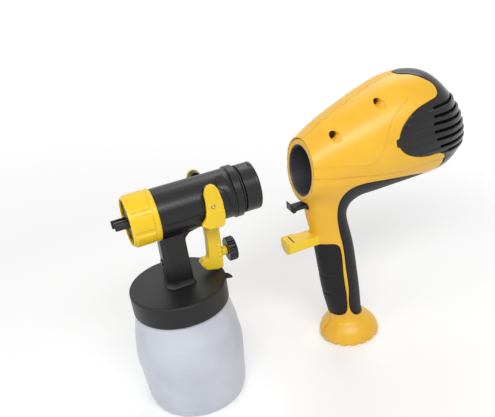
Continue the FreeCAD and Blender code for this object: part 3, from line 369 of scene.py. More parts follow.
def shell_border(points, side):
    """how deep a point lies in one half's shell: short of the black pieces, the mouth, the seam and the openings"""
    edge = np.minimum.reduce([-points[:, COVER], -points[:, REAR], -points[:, FRONT], points[:, MOUTH],
                              side * points[:, SEAM] - HALF_SEAM])
    slot = rounded_box(points[:, :3], *TONGUE_SLOT, 0.8)
    edge = np.minimum(edge, np.where(points[:, 0] < 14.0, slot, 99.0))
    if side < 0:
        for x, z, _ in SCREW_WELLS:
            edge = np.minimum(edge, np.hypot(points[:, 0] - x, points[:, 2] - z) - WELL_RADIUS)
    return edge


def soft_step(value, width):
    share = np.clip(0.5 + value / width, 0.0, 1.0)
    return share * share * (3.0 - 2.0 * share)


def shell_face(points):
    """the raised upper panel and the long crease under it, both only on the outer flanks"""
    flank = soft_step(np.abs(points[:, 1]) - 14.0, 20.0)
    panel = soft_step(inside(points, PANEL_LINE), 0.9) * np.clip((120.0 - points[:, 0]) / 14.0, 0.0, 1.0)
    below = inside(points, CREASE_LINE)
    crease = np.clip(below, 0.0, 9.0) / 9.0
    groove = np.exp(-(below / 0.9) ** 2)
    return flank * (0.75 * panel - 1.3 * (1.0 - crease) * (below > 0.0) - 0.2 * groove)


for side, name, node_name in ((-1, "left_shell", "shell_left"), (1, "right_shell", "shell_right")):
    cut_panel(name, lambda points, s=side: shell_border(points, s), YELLOW_ABS, "handle_unit", (node_name,),
              shape=shell_face,
              bands=[lambda points: inside(points, PANEL_LINE) + 0.45, lambda points: inside(points, PANEL_LINE) - 0.45,
                     lambda points: inside(points, CREASE_LINE)])


def well_wall(x, z, depth, sides=48):
    """the wall and floor of a screw's well, from just under the skin to the boss"""
    turns = np.linspace(0.0, 2.0 * math.pi, sides, endpoint=False)
    ring_x, ring_z = x + WELL_RADIUS * np.cos(turns), z + WELL_RADIUS * np.sin(turns)
    middle, tall, wide = (np.interp(ring_x, BODY[:, 0], BODY[:, i]) for i in (1, 2, 3))
    skin_y = -wide * np.sqrt(np.maximum(1.0 - ((ring_z - middle) / tall) ** 2, 0.0))
    rows = [np.stack([ring_x, skin_y + 0.75, ring_z], -1)]
    for scale, y in ((0.985, -depth - 0.8), (0.9, -depth), (0.34, -depth)):
        rows.append(np.stack([x + (ring_x - x) * scale, np.full(sides, y), z + (ring_z - z) * scale], -1))
    faces = []
    for start in range(0, sides * (len(rows) - 1), sides):
        for i in range(sides):
            j = (i + 1) % sides
            faces.append((start + i, start + j, start + sides + j, start + sides + i))
    return np.concatenate(rows), faces


for number, (x, z, depth) in enumerate(SCREW_WELLS, start=1):
    wall_points, wall_faces = well_wall(x, z, depth)
    wall = make_piece("screw_well_%d" % number, in_metres(wall_points), wall_faces, YELLOW_ABS, "handle_unit")
    wall.modifiers.new("wall", "SOLIDIFY").thickness = 0.0011

# Mouth: the yellow shells turn inwards to a rim along the mouth's raked plane. The docking sleeve inside it is a ring
# of dark grey nylon, pressed in, that the spray head's collar slides into.
RING_SIDES = 120
ring_turns = np.linspace(0.0, 2.0 * math.pi, RING_SIDES, endpoint=False)


def raked_ring(name, profile, material, stands_for=(), outer=None):
    """a ring round the mouth: profile is (depth behind the raked plane, radius), and outer moves its first points"""
    points, faces = [], []
    count = len(profile)
    for i, turn in enumerate(ring_turns):
        for k, (depth, radius) in enumerate(profile):
            radius = radius if radius > 0.0 else outer[i] + radius
            z = radius * math.cos(turn)
            lean = MOUTH_LEAN * z * math.exp(-max(depth - 4.0, 0.0) / 6.0)
            points.append((lean + depth, radius * math.sin(turn), z))
            j, m = (i + 1) % RING_SIDES, (k + 1) % count
            faces.append((i * count + k, j * count + k, j * count + m, i * count + m))
    return make_piece(name, in_metres(points), faces, material, "handle_unit", stands_for, 40.0)


# The rim meets the skin, whose radius there is found by halving between two that lie inside and outside it
low_radius, high_radius = np.full(RING_SIDES, 28.0), np.full(RING_SIDES, 33.6)
for halving in range(16):
    radius = 0.5 * (low_radius + high_radius)
    z = radius * np.cos(ring_turns)
    outside = handle_form(np.stack([MOUTH_LEAN * z + 0.4, radius * np.sin(ring_turns), z], -1)) > 0.0
    low_radius, high_radius = np.where(outside, low_radius, radius), np.where(outside, radius, high_radius)
raked_ring("mouth_rim", [(2.6, -0.5), (0.75, -0.75), (0.25, -1.5), (0.15, -2.2), (0.15, 28.3), (0.4, 27.7), (1.2, 27.4),
                         (7.0, 27.4), (7.0, -2.0)], YELLOW_ABS, outer=low_radius)
GREY_NYLON = moulded_plastic("dark_grey_nylon", "#4B4B52", "#414148", 0.45, 0.8, 0.03, 1.53)
raked_ring("mouth_sleeve", [(0.9, 27.3), (0.6, 27.05), (0.6, 26.7), (0.9, 26.45), (3.0, 26.4), (3.2, 25.95),
                            (3.9, 25.95), (4.1, 26.4), (39.5, 26.4), (40.0, 28.9), (9.0, 28.9), (9.0, 27.3)],
           GREY_NYLON, ("docking_sleeve",))

# Rear cover: glossy black ABS clipped over the turbine's intake, with louvres along its flanks. The face stands proud
# in a ledge under each louvre's line, and an air slot just above the line opens onto the foam filter.
BLACK_GLOSS = moulded_plastic("polished_black_abs", "#1A191C", "#141315", 0.24, 0.8, 0.015, 1.43, spread=0.04)
# Each louvre's line as its level at the front of the cover and at the rear, then where its slot and ledge start
LOUVRES = [(-3.4, -5.2, 152.0, 130.0), (2.5, 3.0, 141.0, 114.0), (13.0, 11.7, 136.0, 102.0), (22.6, 19.8, 133.0, 98.0),
           (31.2, 28.2, 133.0, 99.0), (37.4, 36.6, 135.0, 102.0), (44.0, 46.8, 136.0, 108.0)]
SLOT_END, SLOT_HALF, SLOT_RISE = 184.0, 1.25, 1.35


def below_louvre(points, louvre):
    """how far a point lies under a louvre's line"""
    front, rear = louvre[:2]
    return front + (rear - front) * np.clip((points[:, 0] - 100.0) / 80.0, -0.2, 1.4) - points[:, 2]


def slot_gap(points):
    """how far a point lies outside the nearest air slot, seen from the side"""
    x, y = points[:, 0], points[:, 1]
    gaps = []
    for louvre in LOUVRES:
        start = louvre[2]
        middle, half = 0.5 * (start + SLOT_END), 0.5 * (SLOT_END - start) - SLOT_HALF
        across = below_louvre(points, louvre) + SLOT_RISE
        oblong = np.hypot(np.maximum(np.abs(x - middle) - half, 0.0), across) - SLOT_HALF
        gaps.append(np.maximum(oblong, 7.0 - np.abs(y)))
    return np.minimum.reduce(gaps)


def louvre_face(points):
    """under each line the face stands proud like a tile, most towards the rear, and tapers down to the next line"""
    x = points[:, 0]
    flank = soft_step(np.abs(points[:, 1]) - 18.0, 26.0)
    lift = np.zeros(len(x))
    for louvre in LOUVRES:
        start = louvre[3]
        grow = 0.55 * np.clip((x - start) / 4.0, 0.0, 1.0) + 1.2 * np.clip((x - 118.0) / 40.0, 0.0, 1.0)
        below = below_louvre(points, louvre)
        tile = np.clip(1.0 - below / 7.4, 0.0, 1.0) * soft_step(below - 0.2, 0.7)
        lift = np.maximum(lift, grow * tile)
    return flank * lift


cut_panel("louvred_cover", lambda points: np.minimum(points[:, COVER] - 0.16, slot_gap(points)), BLACK_GLOSS,
          "rear_cover", ("rear_cover",), shape=louvre_face, radius=0.55,
          bands=[lambda points, line=louvre, shift=shift: below_louvre(points, line) + shift
                 for louvre in LOUVRES for shift in (0.15, -0.55)])

# Filter lining: open-cell foam of the intake filter, laid against the inside of the cover and held by its clips.
# The slots open onto it, so they look dark and not through; it is coloured darker than the filter's own foam,
# as painted shade in the slots.
# painted shade: a darker copy of the filter foam, so the slots read as shaded
SHADED_FILTER_FOAM = moulded_plastic("shaded_lining_foam", "#17171A", "#0C0C0E", 0.9, 1.4, 0.3, 1.3, spread=0.12)
cut_panel("shaded_filter_lining", lambda points: points[:, COVER] - 5.0, SHADED_FILTER_FOAM, "rear_cover", (),
          shape=lambda points: -3.4, radius=0.5, wall=1.0)

# Grips: soft black TPE moulded over the shell, matt, with two finger grooves at the front.
# The back strap sweeps from the foot up the rear of the grip and on under the turbine.
SOFT_TPE = moulded_plastic("matt_black_tpe", "#131214", "#0E0D0F", 0.52, 1.1, 0.06, 1.36, spread=0.06)


def finger_grooves(points):
    z = points[:, 2]
    return -0.35 - 0.9 * sum(np.exp(-((z - level) / 1.3) ** 2) for level in (-133.0, -157.0))


cut_panel("front_pad", lambda points: points[:, FRONT] - 0.3, SOFT_TPE, "handle_unit",
          ("front_grip",), shape=finger_grooves, radius=1.0)
cut_panel("back_strap", lambda points: np.minimum(points[:, REAR] - 0.3, -points[:, COVER] - 0.3), SOFT_TPE,
          "handle_unit", ("rear_grip",), shape=lambda points: -0.3, radius=1.0)

# Arm and switch slider: bright yellow ABS. A plain hollow bar closes round the stub of the shells under the mouth,
# and the slider runs in it, with a chisel-faced head that the docked trigger pushes in.
YELLOW_BRIGHT = moulded_plastic("satin_lemon_abs", "#FCD514", "#F8CD15", 0.36, 0.8, 0.02, 1.53)


def corner_gap(a, b, radius):
    """how far outside two faces with a rounded edge between them; a and b are the gaps to each face plus radius"""
    return np.hypot(np.maximum(a, 0.0), np.maximum(b, 0.0)) + np.minimum(np.maximum(a, b), 0.0) - radius


def plate_form(p, outline, low, high, radius, across=1):
    """an outline drawn out straight along one axis, with its edges rounded"""
    flat = p[..., [i for i in range(3) if i != across]]
    flat_gap = radius - depth_in(flat[..., 0], flat[..., 1], np.array(outline, float))
    end_gap = np.abs(p[..., across] - 0.5 * (low + high)) - (0.5 * (high - low) - radius)
    return corner_gap(flat_gap, end_gap, radius)


def moulded(name, form, low, high, step, material, body, stands_for, origin=(MOUTH_X, 0.0, AXIS_Z), angle=60.0):
    points, triangles = skin_over(form, low, high, step)
    return make_piece(name, in_metres(points, origin), triangles, material, body, stands_for, angle)


HEAD_FACE = [(-10.6, -78.5), (-10.6, -87.4), (-4.6, -92.4), (4.6, -92.4), (10.6, -87.4), (10.6, -78.5)]


def slider_form(p):
    head = plate_form(p, HEAD_FACE, -27.6, -20.4, 0.7, across=0)
    hood = rounded_box(p, (-19.6, 0.0, -82.8), (7.2, 11.8, 5.4), 0.7)
    hood = np.maximum(hood, -rounded_box(p, (-9.0, 0.0, -84.7), (11.5, 11.1, 6.7), 0.2))
    slit = rounded_box(p, (-19.4, 0.0, -77.3), (0.75, 7.6, 1.4), 0.2)
    stem = rounded_box(p, (-5.0, 0.0, -84.0), (16.0, 4.3, 1.9), 0.5)
    return swell(np.maximum(swell(head, hood, 0.5), -slit), stem, 0.8)


def arm_bar_form(p):
    bar = rounded_box(p, (-1.6, 0.0, -83.4), (15.0, 10.85, 5.15), 1.0)
    return np.maximum(bar, -rounded_box(p, (-2.0, 0.0, -84.5), (24.0, 8.6, 3.4), 0.3))


moulded("arm_bar", arm_bar_form, (-18.0, -12.5, -90.0), (15.0, 12.5, -76.5), 0.6, YELLOW_BRIGHT, "handle_unit", ())
moulded("slider_head", slider_form, (-30.0, -13.0, -94.5), (13.5, 13.0, -76.0), 0.55, YELLOW_BRIGHT, "switch_slider",
        ("switch_slider",))

# Latch tongue: black acetal, a flat finger with ribs on top and an upturned tip that catches the head's collar.
BLACK_SATIN = moulded_plastic("etched_black_abs", "#18181A", "#121214", 0.33, 0.9, 0.04, 1.42)
TONGUE_SIDE = [(-17.4, -33.4), (-16.0, -33.4), (-13.4, -38.0), (12.4, -38.0), (12.4, -44.0), (4.0, -44.0),
               (1.0, -42.6), (-11.0, -42.6), (-12.6, -44.6), (-15.4, -44.2), (-17.8, -41.0)]


def tongue_form(p):
    finger = plate_form(p, TONGUE_SIDE, -6.0, 6.0, 0.6)
    for i in range(6):
        rib = rounded_box(p, (-9.0 + 3.0 * i, 0.0, -38.0), (0.5, 4.6, 0.5), 0.3)
        finger = swell(finger, rib, 0.4)
    return finger


moulded("tongue", tongue_form, (-19.5, -7.5, -46.0), (14.0, 7.5, -32.0), 0.45, BLACK_SATIN, "latch", ("latch_tongue",))

# Spray body: etched black ABS. The air tube carries the union nut's thread in front and the ridge behind, and the
# faceted neck carries it on the lid. Sizes from here on are millimetres from the spray axis over the cup's middle.
HEAD_ORIGIN = (0.0, 0.0, AXIS_Z)
NECK_PLAN = [(-10.6, -6.6), (-5.4, -12.2), (13.0, -12.2), (15.2, -10.0), (15.2, 10.0), (13.0, 12.2), (-5.4, 12.2),
             (-10.6, 6.6)]


def spray_body_form(p):
    x, y, z = p[..., 0], p[..., 1], p[..., 2]
    radius = np.hypot(y, z)
    outer = np.interp(x, [-30.0, -10.3, -10.1, 70.4, 71.0, 78.7], [24.2, 24.2, 25.7, 25.7, 27.2, 27.2])
    tube = np.maximum(radius - outer, np.maximum(-30.0 - x, x - 78.6))
    tongue_root = np.maximum(radius - 23.4, np.maximum(70.0 - x, x - 82.2))
    bore = np.maximum(radius - 22.6, np.maximum(-6.0 - x, x - 90.0))
    front_bore = np.maximum(radius - 19.5, np.maximum(-40.0 - x, x + 5.0))
    flare = np.clip((z + 76.0) / -7.0, 0.0, 1.0)
    spread = 1.0 + 0.22 * flare ** 2 + 0.05 * np.clip((-z - 30.0) / 50.0, 0.0, 1.0)
    column = p.copy()
    column[..., 0] = 3.0 + (x - 3.0) / spread
    column[..., 1] = y / spread
    neck = plate_form(column, NECK_PLAN, -83.0, -20.0, 0.7, across=2)
    gusset = plate_form(p, [(13.0, -38.0), (16.4, -31.0), (21.0, -26.8), (30.0, -24.6), (30.0, -20.0), (13.0, -20.0)],
                        -9.0, 9.0, 0.6)
    rib = rounded_box(p, (-4.4, -8.4, -52.0), (2.2, 2.4, 21.0), 0.5)
    solid = swell(swell(tube, neck, 2.2), gusset, 1.6)
    solid = swell(solid, rib, 0.8)
    solid = np.minimum(solid, np.maximum(tongue_root, 22.0 - radius))
    window = rounded_box(p, (63.6, -26.0, -2.2), (3.4, 3.0, 4.6), 0.7)
    solid = carve(solid, np.maximum(window, 25.4 - radius), 0.4)
    solid = np.maximum(solid, -bore)
    return np.maximum(solid, -front_bore)


moulded("tube_and_neck", spray_body_form, (-33.0, -29.0, -86.0), (84.5, 29.0, 29.0), 0.85, BLACK_SATIN, "spray_head",
        ("spray_body",), HEAD_ORIGIN)


def bead(name, path, radius, material, body, closed=False, sides=8):
    """a thin round bead along a path in millimetres"""
    path = np.asarray(path, float)
    ahead = np.roll(path, -1, axis=0) - np.roll(path, 1, axis=0)
    if not closed:
        ahead[0], ahead[-1] = path[1] - path[0], path[-1] - path[-2]
    ahead /= np.linalg.norm(ahead, axis=1)[:, None]
    out = path * [0.0, 1.0, 1.0]
    out /= np.maximum(np.linalg.norm(out, axis=1), 1e-6)[:, None]
    out -= ahead * (out * ahead).sum(1)[:, None]
    out /= np.linalg.norm(out, axis=1)[:, None]
    cross = np.cross(ahead, out)
    points = np.concatenate([path + radius * (math.cos(a) * out + math.sin(a) * cross)
                             for a in np.linspace(0.0, 2.0 * math.pi, sides, endpoint=False)])
    count, faces = len(path), []
    for k in range(sides):
        for i in range(count if closed else count - 1):
            j, m = (i + 1) % count, (k + 1) % sides
            faces.append((k * count + i, k * count + j, m * count + j, m * count + i))
    return make_piece(name, in_metres(points, HEAD_ORIGIN), faces, material, body)


def on_tube(x, turn, radius=25.75):
    """a place on the tube: turn runs from the top (0) over the near side to the bottom"""
    return np.stack([x, -radius * np.sin(turn), radius * np.cos(turn)], -1)


# A raised frame on the near side of the tube, as places along it and turns round it in radians
corner_turns = np.linspace(0.0, 0.5 * math.pi, 7)
frame_x = np.concatenate([34.6 - 1.4 * (1 - np.cos(corner_turns)), -5.4 + 1.4 * (1 - np.sin(corner_turns)),
                          -5.4 + 1.4 * (1 - np.cos(corner_turns)), 34.6 - 1.4 * (1 - np.sin(corner_turns))])
frame_turn = np.concatenate([1.19 - 0.055 * np.sin(corner_turns) + 0.055, 1.19 - 0.055 * np.cos(corner_turns) + 0.055,
                             1.66 + 0.055 * np.sin(corner_turns), 1.66 + 0.055 * np.cos(corner_turns)])
bead("side_panel_line", on_tube(frame_x, frame_turn, 25.8), 0.65, BLACK_SATIN, "spray_head", True)

# A cam band wraps the rear of the tube; its front edge winds back towards the underside
CAM_COUNT = 90
cam_turns = np.linspace(0.34, 2.9, CAM_COUNT)
cam_edge = line_through([(0.34, 62.0), (0.42, 56.4), (0.6, 55.2), (1.13, 60.8), (1.92, 66.5), (2.5, 69.4),
                         (2.9, 70.6)], 300)
cam_edge = np.interp(cam_turns, cam_edge[:, 0], cam_edge[:, 1])
cam_rows = [(0.0, 25.2), (0.0, 26.6), (0.06, 26.85), (0.5, 26.9), (1.0, 26.95)]
cam_points = np.concatenate([on_tube(cam_edge + (71.3 - cam_edge) * share, cam_turns, rise)
                             for share, rise in cam_rows])
cam_faces = [(row + i, row + i + 1, row + CAM_COUNT + i + 1, row + CAM_COUNT + i)
             for row in range(0, CAM_COUNT * (len(cam_rows) - 1), CAM_COUNT) for i in range(CAM_COUNT - 1)]
cam = make_piece("cam_band", in_metres(cam_points, HEAD_ORIGIN), cam_faces, BLACK_SATIN, "spray_head")
cam.modifiers.new("wall", "SOLIDIFY").thickness = 0.0006
window = [(62.6, 1.47), (69.0, 1.47), (69.0, 1.78), (65.6, 1.78)]
window_path = np.concatenate([np.linspace(a, b, 8, endpoint=False) for a, b in zip(window, window[1:] + window[:1])])
bead("cam_window_line", on_tube(window_path[:, 0], window_path[:, 1], 26.95), 0.5, BLACK_SATIN, "spray_head",
     True)

# Docking collar: a smooth black ring behind the ridge, with two bayonet lugs near its rim.


def rounded_profile(corners, steps=4):
    """an outline whose corners are rounded: each corner is (a, b) or (a, b, radius)"""
    rounded = []
    count = len(corners)
    for i, corner in enumerate(corners):
        here = np.array(corner[:2], float)
        radius = corner[2] if len(corner) > 2 else 0.0
        if radius <= 0.0:
            rounded.append(here)
            continue
        before = np.array(corners[i - 1][:2], float) - here
        after = np.array(corners[(i + 1) % count][:2], float) - here
        before /= np.linalg.norm(before)
        after /= np.linalg.norm(after)
        half = 0.5 * math.acos(float(np.clip(before @ after, -1.0, 1.0)))
        reach = radius / math.tan(half)
        start, end = here + before * reach, here + after * reach
        for step in range(steps + 1):
            share = step / steps
            rounded.append((1 - share) ** 2 * start + 2 * share * (1 - share) * here + share ** 2 * end)
    return np.array(rounded)


def turned(profile, axis, origin, segments=96, shape=None):
    """a round piece from its closed half outline (along, radius); shape may change the radius by angle"""
    points, faces = [], []
    angles = np.linspace(0.0, 2.0 * math.pi, segments, endpoint=False)
    count = len(profile)
    for angle in angles:
        along, radius = profile[:, 0], profile[:, 1]
        if shape:
            radius = shape(along, radius, angle)
        c, s = math.cos(angle), math.sin(angle)
        if axis == "x":
            ring = np.stack([along, radius * s, radius * c], -1)
        else:
            ring = np.stack([radius * c, radius * s, along], -1)
        points.append(ring + np.array(origin))
    for i in range(segments):
        j = (i + 1) % segments
        for k in range(count):
            m = (k + 1) % count
            face = (i * count + k, i * count + m, j * count + m, j * count + k)
            faces.append(face if axis == "z" else face[::-1])
    return np.concatenate(points) / 1000.0, faces


def turned_piece(name, corners, axis, origin, material, body, stands_for=(), segments=96, shape=None,
                 steps=4, angle=35.0):
    profile = rounded_profile(corners, steps)
    points, faces = turned(profile, axis, origin, segments, shape)
    piece = make_piece(name, points, faces, material, body, stands_for, angle)
    weld = piece.modifiers.new("tidy", "WELD")
    weld.merge_threshold = 0.00002
    return piece


COLLAR_LUGS = (6.0, 186.0)


def collar_form(p):
    x, radius = p[..., 0], np.hypot(p[..., 1], p[..., 2])
    outer = np.where(x > 96.6, 25.15, 25.0)
    ring = np.maximum(corner_gap(radius - outer + 0.9, x - 98.0, 0.9), 82.4 - x)
    bore = np.maximum(radius - 21.4 - 0.35 * (x > 97.6), 60.0 - x)
    for lug in COLLAR_LUGS:
        a = math.radians(lug)
        turned_p = np.stack([x, p[..., 1] * math.cos(a) + p[..., 2] * math.sin(a),
                             -p[..., 1] * math.sin(a) + p[..., 2] * math.cos(a)], -1)
        ring = swell(ring, rounded_box(turned_p, (96.1, 0.0, 24.9), (1.4, 3.0, 1.2), 0.4), 0.4)
    return carve(ring, bore, 0.5)


moulded("collar", collar_form, (80.5, -28.5, -28.5), (101.0, 28.5, 28.5), 0.75, BLACK_SATIN, "spray_head",
        ("docking_collar",), HEAD_ORIGIN)

# Union nut: bright yellow ABS with eight grip pads, each a raised block with softened edges.
NUT_PADS = 8


def nut_form(p):
    x, y, z = p[..., 0], p[..., 1], p[..., 2]
    radius = np.hypot(y, z)
    outer = np.interp(x, [-37.4, -36.6, -35.0, -14.4, -12.6, -9.4, -8.7], [24.4, 25.1, 25.4, 25.6, 27.0, 27.0, 26.3])
    body = np.maximum(radius - outer, np.maximum(-37.4 - x, x + 8.7))
    turn = np.arctan2(y, z) - math.radians(12.0)
    pitch = 2.0 * math.pi / NUT_PADS
    local = (turn + 0.5 * pitch) % pitch - 0.5 * pitch
    pad = rounded_box(np.stack([x, radius * local, radius], -1), (-24.6, 0.0, 25.2), (9.8, 8.0, 1.8), 0.75)
    whole = swell(body, pad, 0.45)
    lip_bore = np.maximum(radius - 23.3, -60.0 - x)
    thread_bore = np.maximum(radius - 24.4, -35.2 - x)
    return np.maximum(carve(whole, lip_bore, 0.5), -thread_bore)


moulded("grip_nut", nut_form, (-39.5, -29.0, -29.0), (-7.0, 29.0, 29.0), 0.6, YELLOW_BRIGHT, "nut", ("union_nut",),
        HEAD_ORIGIN)

# Air cap: black glass-filled nylon disc with two square horns whose jets flatten the spray.
BLACK_NYLON = moulded_plastic("black_glass_nylon", "#1E2022", "#18191B", 0.33, 0.7, 0.03, 1.45)
HORN_TILT = math.radians(18.0)


def air_cap_form(p):
    x, y, z = p[..., 0], p[..., 1], p[..., 2]
    radius = np.hypot(y, z)
    disc = np.maximum(radius - np.where(x < -32.6, 23.0, 24.2), np.maximum(-34.6 - x, x + 30.2))
    nose = np.maximum(radius - 6.4 + 0.8 * np.clip(-34.6 - x, 0.0, 2.0), np.maximum(-36.2 - x, x + 32.0))
    form = swell(disc, nose, 0.8)
    across = y * math.cos(HORN_TILT) - z * math.sin(HORN_TILT)
    up = y * math.sin(HORN_TILT) + z * math.cos(HORN_TILT)
    lean = 12.6 - 0.06 * np.clip(-34.0 - x, 0.0, 16.0)
    horn = rounded_box(np.stack([x, np.abs(across) - lean, up], -1), (-41.0, 0.0, 0.0), (9.9, 2.2, 4.2), 0.6)
    form = swell(form, horn, 1.0)
    jet = np.maximum(np.hypot(x + 47.6, up) - 1.25, np.maximum(np.abs(across) - 12.0, 4.0 - np.abs(across)))
    tip_hole = np.maximum(np.maximum(np.abs(np.abs(across) - 11.7) - 1.0, np.abs(up) - 2.2), x + 49.4)
    form = carve(carve(form, jet, 0.3), tip_hole, 0.3)
    throat = radius - 3.2
    for i in range(4):
        angle = math.radians(45.0 + 90.0 * i) + HORN_TILT
        vent = np.hypot(y - 14.5 * math.cos(angle), z - 14.5 * math.sin(angle)) - 1.1
        form = np.maximum(form, -np.maximum(vent, x + 33.4))
    chamber = np.maximum(radius - 9.0, -32.0 - x)
    return np.maximum(np.maximum(form, -throat), -chamber)


moulded("horned_cap", air_cap_form, (-52.6, -26.0, -26.0), (-28.5, 26.0, 26.0), 0.6, BLACK_NYLON, "air_cap",
        ("air_cap",), HEAD_ORIGIN)

# Trigger: bright yellow ABS. Two cheeks hug the tube and join under it in a bar with a forward toe.
CHEEK = rounded_profile([(36.6, -4.0, 1.0), (37.6, 8.0, 3.0), (37.2, 18.0, 5.0), (39.6, 27.2, 8.0), (49.0, 27.2, 8.0),
                         (52.6, 19.0, 6.0), (55.0, 6.0, 5.0), (55.2, -8.0, 4.0), (53.6, -20.0, 3.0), (38.0, -20.0, 2.0),
                         (30.0, -14.4, 0.8), (34.6, -9.0, 3.0)], 3)
BAR = rounded_profile([(38.6, -24.0, 1.0), (53.6, -24.0, 1.0), (53.2, -45.0, 3.0), (52.2, -64.0, 3.0),
                       (51.4, -79.6, 1.6), (45.0, -81.0, 2.0), (33.0, -77.8, 2.4), (27.2, -70.4, 1.6),
                       (30.8, -65.6, 2.0), (37.0, -66.4, 2.6), (38.6, -45.0, 3.0)], 3)


def trigger_form(p):
    x, y, z = p[..., 0], p[..., 1], p[..., 2]
    spread = np.hypot(y, np.minimum(z + 2.0, 0.0))
    mirrored = np.stack([x, np.abs(y), np.where((y > 0.0) & (z > 4.0), 4.0 + 1.22 * (z - 4.0), z)], -1)
    cheek = plate_form(mirrored, CHEEK, 26.5, 30.2, 0.9)
    saddle_radius = np.hypot(y, z + 2.0)
    front = 36.6 + np.interp(z, [-32.0, -20.0, -14.0, -6.0], [4.0, 0.0, -5.8, 0.0])
    saddle = np.maximum(np.abs(saddle_radius - 28.35) - 1.85,
                        np.maximum(np.maximum(front - x, x - 54.8), z + 3.0))
    bar_half = 5.4 + 0.5 * np.clip((-z - 40.0) / 40.0, 0.0, 1.0)
    scaled = p.copy()
    scaled[..., 1] = y / bar_half * 5.4
    bar = plate_form(scaled, BAR, -5.4, 5.4, 1.2)
    boss = np.maximum(np.hypot(y, z + 64.0) - 5.0, np.maximum(48.0 - x, x - 58.5))
    form = swell(swell(swell(cheek, saddle, 1.6), bar, 3.0), boss, 1.0)
    for i in range(5):
        tick = rounded_box(p, (49.4, -5.6, -52.0 - 5.4 * i), (1.9, 0.7, 0.45), 0.3)
        form = carve(form, tick, 0.3)
    pin = np.hypot(x - 44.4, z - 3.2) - 2.1
    form = np.maximum(form, -pin)
    inner = np.maximum(spread - 26.5, np.where(z > -2.0, np.abs(y) - 26.5, -99.0))
    return np.maximum(form, -np.maximum(inner, -60.0 - z))


moulded("trigger_fork", trigger_form, (25.0, -32.5, -83.0), (61.0, 32.5, 30.0), 0.65, YELLOW_BRIGHT, "trigger",
        ("trigger",), HEAD_ORIGIN)

# Flow knob: black ABS thumb wheel with shallow flutes, on the yellow boss behind the trigger.


def fluted(along, radius, angle):
    bite = 0.75 * max(0.0, math.cos(18.0 * angle)) ** 2
    return np.where((radius > 11.4) & (along > 59.4) & (along < 67.4), radius - bite, radius)


turned_piece("thumb_wheel", [(58.9, 5.4, 0.3), (58.9, 13.0, 1.1), (67.9, 13.0, 1.6), (67.9, 8.6, 0.5), (66.9, 7.4, 0.5),
                             (66.9, 2.1), (61.3, 2.1), (61.3, 5.4)], "x", (0.0, 0.0, AXIS_Z - 64.0), BLACK_SATIN,
             "flow_knob", ("flow_knob",), segments=216, shape=fluted)

# Cup lid: etched black polypropylene, turned over the cup's thread, with a hooked tab to lift the seal.
LID_PP = moulded_plastic("etched_black_polypropylene", "#1E1E20", "#18181A", 0.42, 1.2, 0.08, 1.40)


def lid_form(p):
    x, y, z = p[..., 0], p[..., 1], p[..., 2]
    radius = np.hypot(x, y)
    outer = 51.3 + 0.010 * (z - 139.0)
    puck = np.maximum(corner_gap(radius - outer + 2.0, z - 137.0, 2.0), 115.0 - z)
    angle = math.radians(-18.0)
    along, off = x * math.cos(angle) + y * math.sin(angle), -x * math.sin(angle) + y * math.cos(angle)
    half = np.interp(along, [44.0, 54.0, 57.6], [5.4, 4.2, 1.2])
    hook = np.interp(along, [50.0, 54.0, 58.0], [0.0, 0.5, 2.6])
    tab = np.maximum(np.maximum(np.abs(off) - half, np.abs(z - 137.4 + hook) - 1.1),
                     np.maximum(44.0 - along, along - 58.0))
    form = swell(puck, tab, 0.8)
    inside_bore = np.maximum(radius - 48.1, z - 136.0)
    neck_hole = np.hypot(x - 3.0, y) - 11.85
    return np.maximum(np.maximum(form, -inside_bore), -neck_hole)


moulded("lid", lid_form, (-53.5, -53.5, 113.0), (60.0, 53.5, 141.0), 0.9, LID_PP, "spray_head", ("cup_lid",),
        (0.0, 0.0, 0.0))

# Cup: milky high-density polyethylene, blow moulded, so light soaks in a little and no edge is hard.


def milky_polyethylene():
    material, tree = blank_material("milky_polyethylene")
    place = add_node(tree, "TexCoord").outputs["Object"]
    clouds = add_node(tree, "TexNoise", {"Vector": place, "Scale": 22.0, "Detail": 4.0})
    tint = colour_ramp(tree, clouds.outputs["Fac"], 0.35, "#CBCFDB", 0.65, "#D6DAE4")
    ripple = add_node(tree, "TexNoise", {"Vector": place, "Scale": 420.0, "Detail": 1.0})
    bump = add_node(tree, "Bump", {"Height": ripple.outputs["Fac"], "Strength": 0.25, "Distance": 0.00006})
    shader = add_node(tree, "BsdfPrincipled", {"Base Color": tint, "Roughness": 0.38, "IOR": 1.54,
                                               "Subsurface Weight": 0.25, "Subsurface Radius": (0.9, 0.9, 1.0),
                                               "Subsurface Scale": 0.004, "Normal": bump.outputs["Normal"]})
    add_node(tree, "OutputMaterial", {"Surface": shader.outputs["BSDF"]})
    return material


MILKY_PE = milky_polyethylene()
turned_piece("paint_cup", [(0.0, 0.0), (1.2, 40.0, 2.0), (0.0, 44.0, 1.0), (0.0, 51.0, 3.0), (10.0, 54.2, 8.0),
                           (62.0, 58.4, 22.0), (88.0, 55.2, 18.0), (109.0, 50.6, 6.0), (114.2, 48.0, 2.0),
                           (134.5, 48.0, 0.6), (134.5, 45.8, 0.6), (112.6, 45.8, 2.0), (107.6, 49.0, 6.0),
                           (88.0, 53.4, 18.0), (62.0, 56.6, 22.0), (10.0, 52.4, 6.0), (2.6, 49.2, 3.0), (2.8, 0.0)],
             "z", (0.0, 0.0, 0.0), MILKY_PE, "cup", ("cup",), segments=128, steps=6, angle=70.0)


# Metal, rubber and foam parts keep their CAD shapes and get the finish of the real stock.


